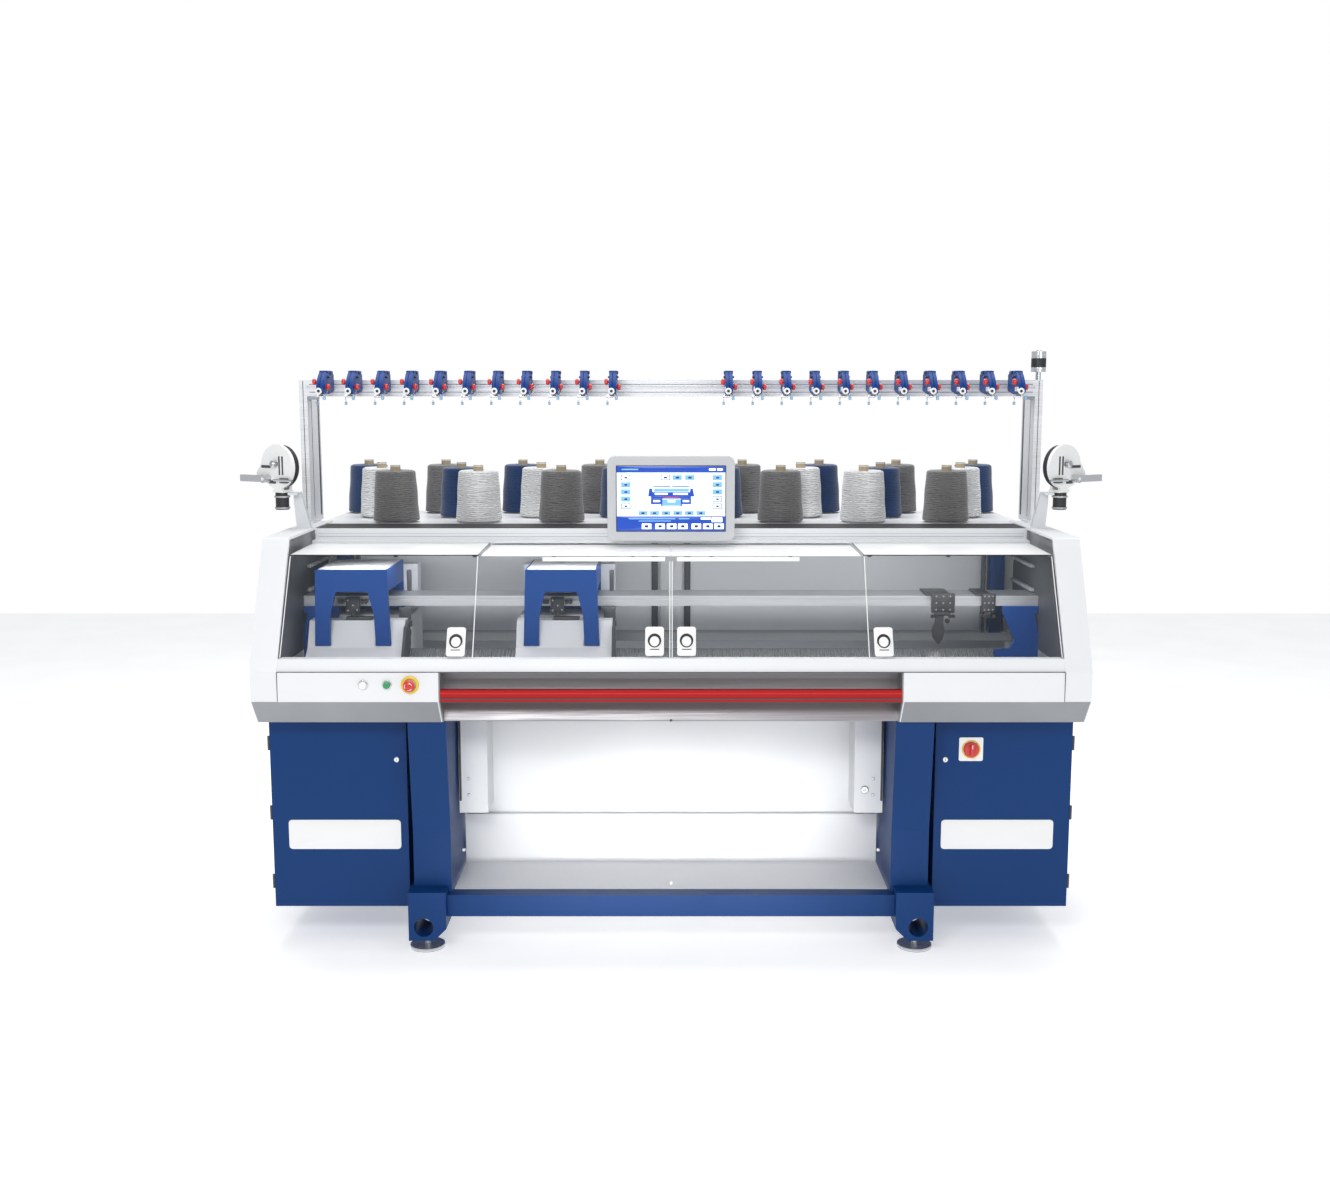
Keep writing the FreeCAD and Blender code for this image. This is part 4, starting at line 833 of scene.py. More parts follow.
def ring_plate(inner, outer, start, depth):
    """A plate with a hole: two outlines of (x, z) points of equal count, closed along Y."""
    rings = np.zeros((4, len(inner), 3))
    for ring, (outline, at) in zip(rings, ((inner, start), (outer, start),
                                           (outer, start + depth), (inner, start + depth))):
        ring[:, (0, 2)] = outline
        ring[:, 1] = at
    return rings.reshape(-1, 3), ring_quads(4, len(inner), closed=True)


def disc(centre, radius, thick, count=24):
    """A flat round disc facing the operator, with a softened rim."""
    edge = min(thick, radius) * 0.3
    return turned([(0, 0), (radius, 0), (radius, thick - edge), (radius - edge, thick),
                   (0, thick)], centre, FRONT, count)


def back_centre(low, high):
    """The middle of a box's back face, its depth and half its width."""
    return (((low[0] + high[0]) / 2, high[1], (low[2] + high[2]) / 2), high[1] - low[1],
            (high[0] - low[0]) / 2)


def build_buttons():
    """Two domed push buttons and a mushroom stop, each in its own collar."""
    for node, finish in (("white_button", "white_plastic"), ("green_button", "green_plastic")):
        centre, depth, wide = back_centre(*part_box(node))
        wide -= 0.0002
        cap = turned([(0, 0), (wide, 0), (wide, depth - 0.004), (wide - 0.001, depth - 0.002),
                      (wide - 0.003, depth - 0.001), (wide * 0.5, depth - 0.0004), (0, depth)],
                     centre, FRONT, 28)
        piece(f"{node}_cap", [cap], finish, node, instead=node)
    centre, depth, wide = back_centre(*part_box("emergency_stop"))
    wide -= 0.0003
    head = [(0, 0), (0.0125, 0), (0.0125, depth - 0.021), (wide - 0.002, depth - 0.019),
            (wide, depth - 0.017), (wide, depth - 0.012)]
    head += [(wide * math.cos(a), depth - 0.012 + 0.012 * math.sin(a))
             for a in np.linspace(0, np.pi / 2, 8)[1:]]
    piece("stop_mushroom", [turned(head, centre, FRONT, 36)], "red_plastic", "emergency_stop",
          instead="emergency_stop")
    arrows = []
    for turn in (0.3, 2.4, 4.5):
        arc = np.linspace(turn, turn + 1.1, 9)
        path = np.stack([centre[0] + 0.0125 * np.cos(arc), np.full(9, centre[1] - depth + 0.0020),
                         centre[2] + 0.0125 * np.sin(arc)], axis=1)
        arrows.append(tube(path, np.linspace(0.0008, 0.0016, 9), 6))
    piece("stop_marks", arrows, "white_plastic", "emergency_stop")
    collars = []
    for index, spots in enumerate(sorted(solid_spots("button_collars"),
                                         key=lambda item: item[0][0])):
        centre, depth, wide = back_centre(*spots)
        bore = 0.0202 if index == 2 else 0.0122
        collars.append(turned(
            [(bore, 0), (wide, 0), (wide, depth * 0.45), (wide - 0.0015, depth * 0.8),
             (wide - 0.004, depth), (bore + 0.0015, depth), (bore, depth * 0.8), (bore, 0)],
            centre, FRONT, 36))
    piece("button_rims", collars[:2], "chrome", instead="button_collars")
    piece("stop_collar", collars[2:], "yellow_plastic", instead="button_collars")


def build_switch():
    """Red rotary main switch with a grip bar, on a square white plate fixed to the door."""
    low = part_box("switch_knob")[0]
    centre, _, wide = back_centre(*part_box("switch_knob"))
    base = turned([(0, 0), (wide, 0), (wide, 0.010), (wide - 0.002, 0.013), (wide - 0.006, 0.0145),
                   (0, 0.0145)], centre, FRONT, 40)
    bar = slab((centre[0] - 0.0065, low[1] + 0.0005, centre[2] - wide * 0.86),
               (centre[0] + 0.0065, centre[1] - 0.012, centre[2] + wide * 0.86), 0.005)
    piece("switch_grip", [base, bar], "red_plastic", "switch_knob", instead="switch_knob")
    mark = slab((centre[0] - 0.0012, low[1] + 0.0001, centre[2] + wide * 0.25),
                (centre[0] + 0.0012, low[1] + 0.0010, centre[2] + wide * 0.75), 0.0008)
    piece("switch_mark", [mark], "white_plastic", "switch_knob")
    square = rounded_outline(0.083, 0.083, 0.006, 8)
    angle = np.arctan2(square[:, 1], square[:, 0])
    inner, rim, thick = wide + 0.0012, wide + 0.0055, 0.003
    hole = np.stack([np.cos(angle), np.sin(angle)], axis=1) * inner
    face = corner("cabinet_door_right", "y")[0] - thick
    middle = (centre[0], centre[2])
    shapes = [ring_plate(hole + middle, square + middle, face, thick)]
    shapes += [disc((centre[0] + a, face, centre[2] + b), 0.003, 0.0012, 12)
               for a in (-0.034, 0.034) for b in (-0.034, 0.034)]
    piece("switch_plate", shapes, "white_plastic", "door_right")
    ring = turned([(inner, 0), (rim, 0), (rim, 0.0008), (inner, 0.0008), (inner, 0)],
                  (centre[0], face, centre[2]), FRONT, 40)
    piece("switch_ring", [ring], "yellow_plastic", "door_right")


def build_doors():
    """Blank name plates, round locks and hinge pins of the cabinet doors."""
    for side, body in ((-1, "door_left"), (1, "door_right")):
        low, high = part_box(f"cabinet_{body}")
        front = low[1]
        ends = sorted((side * PLATE_ENDS[0], side * PLATE_ENDS[1]))
        plate_shape = slab((ends[0], front - 0.0022, 0.345), (ends[1], front, 0.450), 0.012)
        piece(f"{body}_name_plate", [plate_shape], "white_plastic", body)
        x, z = side * LOCK_AT[0], LOCK_AT[1]
        lock = turned([(0, 0), (0.0095, 0), (0.0095, 0.002), (0.0075, 0.0034), (0.0045, 0.0034),
                       (0.0045, 0.0022), (0, 0.0022)], (x, front, z), FRONT, 24)
        slit = slab((x - 0.0009, front - 0.0036, z - 0.0045),
                    (x + 0.0009, front - 0.002, z + 0.0045), 0.0006)
        piece(f"{body}_lock", [lock], "chrome", body)
        piece(f"{body}_lock_slit", [slit], "black_plastic", body)
        edge = high[0] if side > 0 else low[0]
        hinges = [turned([(0, 0), (0.0040, 0.0), (0.0045, 0.001), (0.0045, 0.049),
                          (0.0040, 0.050), (0, 0.050)],
                         (edge + side * 0.0046, front + 0.006, height - 0.025), count=16)
                  for height in (low[2] + 0.09, (low[2] + high[2]) / 2, high[2] - 0.09)]
        piece(f"{body}_hinges", hinges, "dark", body)


def on_pane(node, shape):
    """A shape drawn with x across, y up the pane and z out of it, laid on a pane's lower edge."""
    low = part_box(node)[0]
    points, faces = shape
    rise = np.array([PANE_DEEP, INNER_RISE if "inner" in node else OUTER_RISE])
    rise /= np.linalg.norm(rise)
    out = np.array([-rise[1], rise[0]])
    place = np.zeros_like(points)
    place[:, 0] = points[:, 0]
    place[:, 1:] = (low[1], low[2]) + points[:, 1:2] * rise + points[:, 2:3] * out
    return place, faces


def build_grips():
    """A white cup grip on each sliding window: rounded plate, raised oval rim and inner cup, with
    painted shade as a dark ring round the cup and a dark line under the rim.
    """
    for node, x in (("window_outer_left", -0.717), ("window_inner_left", -0.055),
                    ("window_inner_right", 0.052), ("window_outer_right", 0.709)):
        base = slab((x - 0.0315, 0.007, 0.0002), (x + 0.0315, 0.110, 0.0050), 0.009, axis=2)
        rim = turned([(0.0226, 0.0), (0.0266, 0.0), (0.0266, 0.0024), (0.0255, 0.0040),
                      (0.0238, 0.0040), (0.0226, 0.0026), (0.0226, 0.0)], (0, 0, 0), count=40)
        cup = turned([(0, 0), (0.0150, 0), (0.0160, 0.0012), (0.0145, 0.0026), (0.0, 0.0032)],
                     (0, 0, 0))
        # Painted shade: the dark disc inside the rim shows the shadow round the cup, and the dark
        # mark below shows the shade under the rim.
        painted_cup_shade = turned([(0, 0), (0.0230, 0), (0.0230, 0.0006), (0, 0.0006)], (0, 0, 0))
        rim, cup, painted_cup_shade = ((points * (1, 1.12, 1) + (x, up, 0.0048), faces)
                          for (points, faces), up in ((rim, 0.060), (cup, 0.0575), (painted_cup_shade, 0.060)))
        mark = slab((x - 0.016, 0.0275, 0.0046), (x + 0.016, 0.0305, 0.0054), 0.0012, axis=2)
        piece(f"{node}_grip", [on_pane(node, shape) for shape in (base, rim, cup)],
              "white_plastic", node)
        piece(f"{node}_grip_well", [on_pane(node, shape) for shape in (painted_cup_shade, mark)],
              "black_plastic", node)


# --- screen ---------------------------------------------------------------------------------

def build_screen():
    """The lit display: a pale field, blue bars, plain tiles and a simple drawing of a machine."""
    wide, high = 0.388, 0.232
    left, top = MIDDLE_X - wide / 2, 1.661
    groups = {"edge": "black_plastic", "field": "glow_pale", "bars": "glow_deep",
              "tiles": "glow_sky", "marks": "glow_white", "ink": "glow_ink", "red": "glow_red"}
    shapes = {name: [] for name in groups}
    shapes["edge"].append(slab((left - 0.003, FACE - 0.0005, top - high - 0.003),
                               (left + wide + 0.003, FACE + 0.001, top + 0.003), 0.002,
                               edge=0.0001))

    def patches(group, layer, radius, *spans):
        """Rectangles from (x0, x1, y0, y1), as shares of the display from its top left."""
        front = FACE - 0.0006 - 0.0004 * layer
        for x0, x1, y0, y1 in spans:
            shapes[group].append(slab((left + wide * x0, front, top - high * y1),
                                      (left + wide * x1, front + 0.0010, top - high * y0),
                                      radius, edge=0.0001))

    def tile(group, x, y, tall, mark, mark_layer):
        """A tile with a small ink mark; an ink tile has a white middle."""
        patches(group, 2, 0.0012, (x, x + mark[0], y, y + tall))
        if group == "ink":
            patches("marks", 3, 0.0012, (x + 0.006, x + 0.079, y + 0.010, y + tall - 0.010))
        patches("ink", mark_layer, 0.002, (x + mark[1], x + mark[2], y + mark[3], y + mark[4]))

    patches("bars", 2, 0.0012, (0, 1, 0, 0.098), (0, 1, 0.772, 1))
    patches("field", 1, 0.0012, (0, 1, 0, 1))
    for index in range(5):
        for x in (0.040, 0.885):
            tile("tiles" if (index + (x > 0.5)) % 5 in (1, 2, 3) else "ink", x,
                 0.135 + 0.110 * index, 0.080, (0.085, 0.030, 0.058, 0.028, 0.056), 4)
    for group, x in (("ink", 0.405), ("tiles", 0.515), ("tiles", 0.630)):
        tile(group, x, 0.135, 0.077, (0.085, 0.028, 0.060, 0.025, 0.055), 4)
    for index in range(6):
        tile("tiles", 0.200 + 0.107 * index, 0.690, 0.065, (0.082, 0.026, 0.056, 0.020, 0.048), 3)
    for x in (0.230, 0.355, 0.462, 0.565, 0.690, 0.797, 0.900):
        patches("marks", 3, 0.0012, (x, x + 0.088, 0.885, 0.970))
        patches("ink", 4, 0.002, (x + 0.028, x + 0.060, 0.908, 0.948))
    patches("tiles", 3, 0.0005, (0.11, 0.54, 0.800, 0.818), (0.57, 0.67, 0.800, 0.818),
            (0.20, 0.50, 0.838, 0.852), (0.045, 0.20, 0.040, 0.060))
    patches("marks", 3, 0.0012, (0.775, 0.870, 0.790, 0.822), (0.875, 0.975, 0.790, 0.862),
            (0.850, 0.912, 0.035, 0.068), (0.925, 0.975, 0.035, 0.068))
    # The drawing of a machine: its bars, casting and legs, with panels and a red line.
    patches("bars", 2, 0.0012, (0.335, 0.495, 0.308, 0.322), (0.510, 0.668, 0.308, 0.322))
    casting = [(0.29, 0.465), (0.30, 0.345), (0.325, 0.345), (0.33, 0.40), (0.675, 0.40),
               (0.68, 0.345), (0.70, 0.345), (0.715, 0.465)]
    shapes["bars"].append(plate([(left + wide * x, top - high * y) for x, y in casting],
                                FACE - 0.0014, 0.0010))
    patches("bars", 2, 0.0012, (0.315, 0.685, 0.465, 0.500), (0.315, 0.420, 0.500, 0.585),
            (0.590, 0.685, 0.500, 0.585), (0.408, 0.420, 0.585, 0.618),
            (0.590, 0.602, 0.585, 0.618))
    patches("tiles", 2, 0.0012, (0.420, 0.590, 0.510, 0.610), (0.345, 0.665, 0.345, 0.392))
    patches("marks", 3, 0.0012, (0.350, 0.470, 0.412, 0.440), (0.520, 0.655, 0.412, 0.440),
            (0.335, 0.400, 0.525, 0.552), (0.608, 0.668, 0.525, 0.552),
            (0.470, 0.540, 0.525, 0.555))
    patches("red", 3, 0.0004, (0.425, 0.575, 0.478, 0.492))
    for name, finish in groups.items():
        piece(f"display_{name}", shapes[name], finish, "touch_screen")


# --- carriages, carriers and bed ------------------------------------------------------------

def bolt(centre, radius=0.005, axis=FRONT, tall=0.004):
    """A socket head screw: a turned head with a chamfer and a sunk middle."""
    return turned([(0, 0), (radius, 0), (radius, tall * 0.75), (radius * 0.85, tall),
                   (radius * 0.45, tall), (radius * 0.4, tall * 0.4), (0, tall * 0.4)],
                  centre, axis, 14)


def blocks(at, *rows, axis=1):
    """Slabs from rows of (low, high, radius), both corners measured from one place."""
    at = np.asarray(at, float)
    return [slab(at + low, at + high, radius, axis=axis) for low, high, radius in rows]


def build_carriage(side):
    """Light top plate, rear switch case, dark carrier clamps under the hood and the row of cams,
    springs and rollers on the open right side of one carriage."""
    body = f"carriage_{side}"
    hood, hood_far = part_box(f"carriage_hood_{side}")
    box, box_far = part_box(f"carriage_cam_box_{side}")
    rear, rear_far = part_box(f"carriage_rear_box_{side}")
    beam, beam_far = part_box("feeder_beam")
    left, right, top = hood[0], hood_far[0], hood_far[2]
    middle, out = (left + right) / 2, box_far[0]

    lid = slab((left + 0.014, hood[1] + 0.014, top - 0.0008),
               (right - 0.014, hood_far[1] - 0.010, top + 0.0014), 0.006, axis=2)
    piece(f"{body}_lid", [lid], "light_grey", body)
    rim = slab((rear_far[0] - 0.014, rear[1] - 0.0016, beam_far[2] + 0.012),
               (rear_far[0] + 0.0012, rear[1] + 0.012, rear_far[2] - 0.004), 0.003)
    piece(f"{body}_case_rim", [rim], "dark", body)

    front, low = beam[1] - CLAMP_FORWARD, beam[2]
    plates = blocks((middle, front, low),
                    ((-0.046, -0.012, -0.022), (0.002, -0.0012, 0.034), 0.003),
                    ((-0.030, -0.010, -0.048), (-0.012, -0.003, -0.020), 0.002),
                    ((-0.085, -0.060, -0.118), (0.085, -0.030, -0.050), 0.004))
    plates += blocks((middle, front, box_far[2]),
                     ((-0.034, -0.075, 0.0015), (0.060, -0.040, 0.0100), 0.002))
    plates += blocks((middle, front, low),
                     *(((x, -0.006, 0.0490), (x + 0.040, 0.12, 0.0540), 0.002)
                       for x in (-0.060, -0.008, 0.044)), axis=2)
    plates += [turned([(0, 0), (0.0065, 0), (0.0075, 0.001), (0.0075, 0.008), (0.0065, 0.009),
                       (0, 0.009)], (middle + x, front - 0.0012, low + 0.018), FRONT, 18)
               for x in (0.012, 0.024, -0.058, -0.068)]
    bolts = [bolt((middle + x, front - 0.012, low + z), 0.0032)
             for x, z in ((-0.038, 0.024), (-0.020, 0.006), (-0.006, -0.010), (-0.038, -0.012))]
    # The open right side: a dark side plate with a staggered column of rollers and springs.
    plates += blocks((right, front, low),
                     ((0.010, -0.014, -0.050), (0.052, -0.002, -0.002), 0.003))
    back, base, roof = box_far[1], box[2], box_far[2]
    side_face = [(back - 0.185, base + 0.062), (back - 0.090, roof - 0.020),
                 (back - 0.020, roof - 0.004), (back - 0.006, roof - 0.090),
                 (back - 0.040, base + 0.095), (back - 0.12, base + 0.062)]
    plates.append(across_rings(side_face, [(out + 0.0004, 0.99), (out + 0.0012, 1.0),
                                           (out + 0.008, 1.0), (out + 0.010, 0.985)]))
    bright = []
    for index in range(5):
        y, z = front - 0.014 - 0.012 * index, low - 0.060 - 0.030 * index
        plates.append(slab((right + 0.018, y - 0.004, z - 0.010),
                           (out + 0.012 - 0.002 * index, y + 0.012, z + 0.012), 0.003))
        bright.append(turned([(0, 0), (0.0075, 0), (0.0088, 0.0015), (0.0088, 0.010),
                              (0.0070, 0.0115), (0.0070, 0.0150), (0.0045, 0.0165), (0, 0.0165)],
                             (right + 0.030 + 0.004 * (index % 2), y - 0.004, z), FRONT, 18))
        bolts.append(bolt((out + 0.002 - 0.003 * index, y - 0.004, z + 0.004), 0.003))
    coil = np.linspace(0, 1, 90)
    spring = np.stack([right + 0.046 + 0.0045 * np.cos(coil * 44),
                       front - 0.046 + 0.0045 * np.sin(coil * 44),
                       low - 0.055 - 0.05 * coil], axis=1)
    bright.append(tube(spring, 0.0009, 5))
    piece(f"{body}_clamps", plates, "dark", body)
    piece(f"{body}_rollers", bright, "chrome", body)
    piece(f"{body}_bolts", bolts, "steel", body)


def build_carriers():
    """The two parked yarn carriers: dark clamp plates, guide rollers, top shoes and a long
    blade with a rounded tip."""
    beam, beam_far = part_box("feeder_beam")
    front, low, top = beam[1], beam[2], beam_far[2]
    for node, wide, shoes, knob_shares in (
            ("yarn_carrier_long", 0.082, 3, (0.06, 0.22, 0.82, 0.95)),
            ("yarn_carrier_short", 0.048, 2, (0.05, 0.5, 0.92))):
        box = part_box(node)[0]
        left = box[0] + 0.020
        plates = [slab((left, front - 0.0138, low - 0.024),
                       (left + wide, front - 0.0006, top + 0.0095), 0.004)]
        for index in range(shoes):
            x = left - 0.018 + index * (wide + 0.004) / shoes
            plates.append(slab((x, front - 0.010, top + 0.0008),
                               (x + wide / shoes + 0.002, beam_far[1] - 0.012, top + 0.0078),
                               0.002, axis=2))
        plates.append(slab((left + 0.010, front - 0.0138, low - 0.034),
                           (left + wide - 0.014, front - 0.004, low - 0.020), 0.003))
        bolts = [bolt((left + wide * x, front - 0.0132, low + z), 0.0028, tall=0.0008)
                 for x in (0.2, 0.5, 0.8) for z in (0.012, 0.036, -0.012)]
        knobs = [turned([(0, 0), (0.0062, 0), (0.0070, 0.001), (0.0070, 0.007), (0.0060, 0.008),
                         (0, 0.008)], (left + wide * x, front - 0.004, low - 0.036), FRONT, 16)
                 for x in knob_shares]
        if node == "yarn_carrier_long":
            foot = box[2]
            blade = [(left + wide * share, z) for share, z in (
                (0.18, low - 0.026), (0.55, low - 0.026), (0.53, low - 0.060),
                (0.60, low - 0.092), (0.52, low - 0.118), (0.36, foot + 0.001),
                (0.24, foot + 0.006), (0.08, low - 0.112), (0.02, low - 0.085),
                (0.16, low - 0.055))]
            inset = [(x * 0.7 + (left + wide * 0.34) * 0.3, z * 0.75 + (low - 0.09) * 0.25)
                     for x, z in blade]
            plates += [plate(blade, front - 0.0108, 0.0066), plate(inset, front - 0.0128, 0.0024)]
            knobs.append(turned([(0, 0), (0.008, 0), (0.009, 0.001), (0.009, 0.008), (0, 0.009)],
                                (left + wide * 0.70, front - 0.004, low - 0.052), FRONT, 18))
        piece(f"{node}_plates", plates, "carrier", node, instead=node)
        piece(f"{node}_bolts", bolts, "steel", node)
        piece(f"{node}_knobs", knobs, "black_plastic", node)


def build_interior():
    """What shows through the windows: strip, grooves and knobs of the back wall, blue end posts,
    and end sheets dark with painted shade, with ribs and screws."""
    wall = corner("back_wall", "y")[0]
    low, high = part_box("back_wall")
    roof = high[2] - 0.02
    light = [slab((MIDDLE_X - 0.040, wall - 0.022, SHEET_FOOT), (MIDDLE_X + 0.040, wall, roof),
                  0.003)]
    dark = [slab((x - 0.012, wall - 0.006, SHEET_FOOT), (x + 0.012, wall, roof), 0.002)
            for x in (MIDDLE_X - 0.062, MIDDLE_X + 0.062)]
    knobs = [turned([(0, 0), (0.011, 0), (0.012, 0.002), (0.010, 0.006), (0, 0.006)],
                    (x, wall, 1.312), FRONT, 20)
             for x in np.arange(low[0] + 0.26, high[0] - 0.2, 0.30)]
    piece("back_strips", light, "light_grey")
    piece("back_grooves", dark, "dark")
    piece("back_knobs", knobs, "dark")
    posts, sheets, ribs = [], [], []
    for side in (-1, 1):
        x, inner = side * POST_AT, side * SHEET_AT
        posts.append(slab((x - 0.028, wall - 0.075, SHEET_FOOT), (x + 0.028, wall - 0.030, roof),
                          0.004))
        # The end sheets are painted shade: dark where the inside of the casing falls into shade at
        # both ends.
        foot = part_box("window_outer_right")[0][1] + 0.014
        outline = [(foot, SHEET_NOSE), (foot + PANE_DEEP, SHEET_TOP), (wall - 0.002, SHEET_TOP),
                   (wall - 0.002, SHEET_FOOT), (foot, SHEET_FOOT)]
        sheets.append(plate(outline, min(inner, inner - side * 0.002), 0.002, axis=0))
        ends = sorted((x - side * 0.040, x - side * 0.052))
        sheets.append(slab((ends[0], wall - 0.060, SHEET_FOOT), (ends[1], wall - 0.030, roof),
                           0.002))
        ends = sorted((inner - side * 0.002, inner - side * 0.016))
        for z in (1.13, 1.215, 1.30):
            ribs.append(slab((ends[0], wall - 0.33, z), (ends[1], wall - 0.03, z + 0.012), 0.002))
            ribs += [bolt((inner - side * 0.016, wall - y, z + 0.006), 0.004, (-side, 0, 0))
                     for y in (0.07, 0.20, 0.31)]
    piece("end_posts", posts, "blue")
    piece("end_sheets", sheets, "inner_dark")
    piece("end_ribs", ribs, "grey")


def build_needles():
    """Fine needle stems lying in the tricks of both needle beds, as thin square prisms."""
    low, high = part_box("needle_beds")
    middle = (low[1] + high[1]) / 2
    xs = np.arange(low[0] + 0.01, high[0] - 0.01, sizes().needle_pitch)
    shapes = []
    half = sizes().needle_thick / 2
    reach, drop = 0.150, 0.112 * 0.150 / 0.192
    for side in (-1, 1):
        near, far = middle + side * 0.012, middle + side * (0.012 + reach)
        top = high[2] - 0.004
        start = np.array([[-half, near, top - 0.001], [half, near, top - 0.001],
                          [half, near, top + 0.0032], [-half, near, top + 0.0032]])
        end = start + (0, far - near, -drop)
        ring = np.stack([start, end])
        points = ring[None] + np.stack([xs, 0 * xs, 0 * xs], axis=1)[:, None, None]
        points = points.reshape(-1, 3)
        base = np.array([[0, 1, 5, 4], [1, 2, 6, 5], [2, 3, 7, 6], [3, 0, 4, 7], [3, 2, 1, 0],
                         [4, 5, 6, 7]])
        faces = (base[None] + 8 * np.arange(len(xs))[:, None, None]).reshape(-1, 4).tolist()
        shapes.append((points, faces))
    piece("needles", shapes, "chrome")


# --- outside: windows, covers, tray, aprons, table, creel, feeders, feet --------------------

def strip_x(low_x, high_x, low, high, radius=0.0008):
    """A bar along the machine: low and high are its (y, z) corners."""
    return slab((low_x, low[0], low[1]), (high_x, high[0], high[1]), radius, axis=0)


def build_windows():
    """Painted highlights: white strips up the pane edges and a bright bar under the middle panes'
    knees; pale sheets on the flat tops, and dark seals along the knees and beside the joints."""
    span = corner("window_inner_right", "x")[1]
    outer = corner("window_outer_right", "x")[1]
    half = sizes().highlight_wide / 2
    for side, sign in (("left", -1), ("right", 1)):
        for node, spots, edge, far in (
                (f"window_inner_{side}", (0.004,), 0.001, span - 0.001),
                (f"window_outer_{side}", (span + 0.007, outer - 0.005), span + 0.004,
                 outer - 0.003)):
            middle = "inner" in node
            top = INNER_LONG if middle else OUTER_LONG
            # White strips painted up the pane edges and under the middle knees as highlights.
            shapes = [on_pane(node, slab((sign * x - half, 0.003, 0.0002),
                                         (sign * x + half, top, 0.0014), 0.0005, axis=2))
                      for x in spots]
            if middle:
                ends = sorted((sign * 0.020, sign * 0.440))
                shapes.append(on_pane(node, slab((ends[0], INNER_LONG, 0.0002),
                                                 (ends[1], 0.3660, 0.0010), 0.001, axis=2)))
            piece(f"{node}_strips", shapes, "white_plastic", node)
            low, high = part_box(node)
            knee = low[1] + PANE_DEEP
            ends = sorted((sign * edge, sign * far))
            height = high[2] - 0.006
            flat = [(knee + 0.003, height + 0.0003), (high[1] - 0.002, high[2] + 0.0002),
                    (high[1] - 0.002, high[2] + 0.0009), (knee + 0.003, height + 0.0010)]
            piece(f"{node}_top", [plate(flat, ends[0], ends[1] - ends[0], axis=0)],
                  "white_plastic", node)
            if middle:
                continue
            seals = [strip_x(ends[0], ends[1], (knee - 0.0012, height - 0.0022),
                             (knee + 0.0026, height + 0.0012), 0.0005)]
            line = [(knee + 0.003, height + 0.0012), (high[1] - 0.002, high[2] + 0.0011),
                    (high[1] - 0.002, high[2] + 0.0019), (knee + 0.003, height + 0.0020)]
            seals.append(plate(line, sign * (span + 0.006) - 0.0015, 0.003, axis=0))
            piece(f"{node}_seals", seals, "black_plastic", node)


def build_covers():
    """Dark side knobs, grey painted shade on the lower bevels and fine dark seams of the white
    front.
    """
    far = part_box("end_covers")[1]
    panel, panel_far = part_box("front_panels")
    nose_z = panel[2] + 0.084
    knobs = [turned([(0, 0), (0.011, 0), (0.012, 0.001), (0.012, 0.007), (0.009, 0.010),
                     (0, 0.010)], (sign * far[0], FACE - 0.20, 1.398), (sign, 0, 0), 20)
             for sign in (-1, 1)]
    piece("cover_knobs", knobs, "dark")
    # The grey plates over the white lower bevels are painted shade, where those faces turn down
    # away from the light.
    lip = panel_far[1] - 0.006
    bevel = [(panel[1] - 0.0006, nose_z - 0.0005), (lip - 0.0006, panel[2] - 0.0005),
             (lip, panel[2]), (panel[1], nose_z)]
    tray_half = corner("fabric_tray", "x")[1]
    wide = far[0] - tray_half - 0.008
    grey = [plate(bevel, x, wide, axis=0) for x in (-far[0] + 0.004, tray_half + 0.004)]
    piece("lower_bevels", grey, "bevel")
    seams = [strip_x(-panel_far[0], panel_far[0], (panel[1] + 0.0010, panel_far[2] - 0.0012),
                     (panel[1] + 0.0060, panel_far[2] + 0.0010))]
    seams += [slab((x - 0.001, panel[1] - 0.0006, nose_z),
                   (x + 0.001, panel[1] + 0.004, panel_far[2]), 0.0004, axis=2)
              for x in (-panel_far[0], panel_far[0])]
    piece("front_seams", seams, "dark")


def build_tray():
    """Groove of the red bar, with painted shade along its foot and a painted highlight near its
    top, and the tray's middle screw.
    """
    bar, bar_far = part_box("start_bar")
    tray, tray_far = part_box("fabric_tray")
    half = bar_far[0] - 0.004
    for name, low, high, finish in (("bar_groove", 0.012, 0.016, "dark"),
                                    ("bar_shade", 0.0005, 0.0035, "dark"),
                                    # The lighter red strip near the top is a painted highlight;
                                    # the dark strip at the foot is painted shade.
                                    ("bar_light", 0.030, 0.0325, "red_light")):
        piece(name, [strip_x(-half, half, (bar[1] - 0.0006, bar[2] + low),
                             (bar[1] + 0.003, bar[2] + high), 0.0004)], finish, "start_bar")
    screw = bolt((MIDDLE_X, tray_far[1] - 0.062, tray[2] + 0.012), 0.005, (0, -0.74, -0.67))
    piece("tray_screws", [screw], "dark")


def build_aprons():
    """Edge slots, screws and the round lock of the white aprons."""
    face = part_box("apron_upper")[0][1]
    lower_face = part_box("apron_lower")[0][1]
    edge = corner("apron_upper", "x")[1]
    slots, screws = [], []
    for sign in (-1, 1):
        x = sign * (edge - 0.0045)
        slots.append(slab((x - 0.004, face - 0.0008, 0.474), (x + 0.004, face + 0.004, 0.80),
                          0.001, axis=2))
        for z in (0.556, 0.496):
            screws.append(bolt((sign * 0.722, face, z), 0.0065))
        screws.append(bolt((sign * 0.722, lower_face, 0.342), 0.006))
    screws.append(bolt((MIDDLE_X, lower_face, 0.222), 0.006))
    piece("apron_slots", slots, "dark")
    piece("apron_screws", screws, "steel")
    lock = turned([(0, 0), (0.013, 0), (0.0145, 0.0015), (0.0145, 0.004), (0.012, 0.006),
                   (0.005, 0.006), (0.004, 0.003), (0, 0.003)], (0.692, face, 0.515), FRONT, 28)
    piece("apron_lock", [lock], "steel")


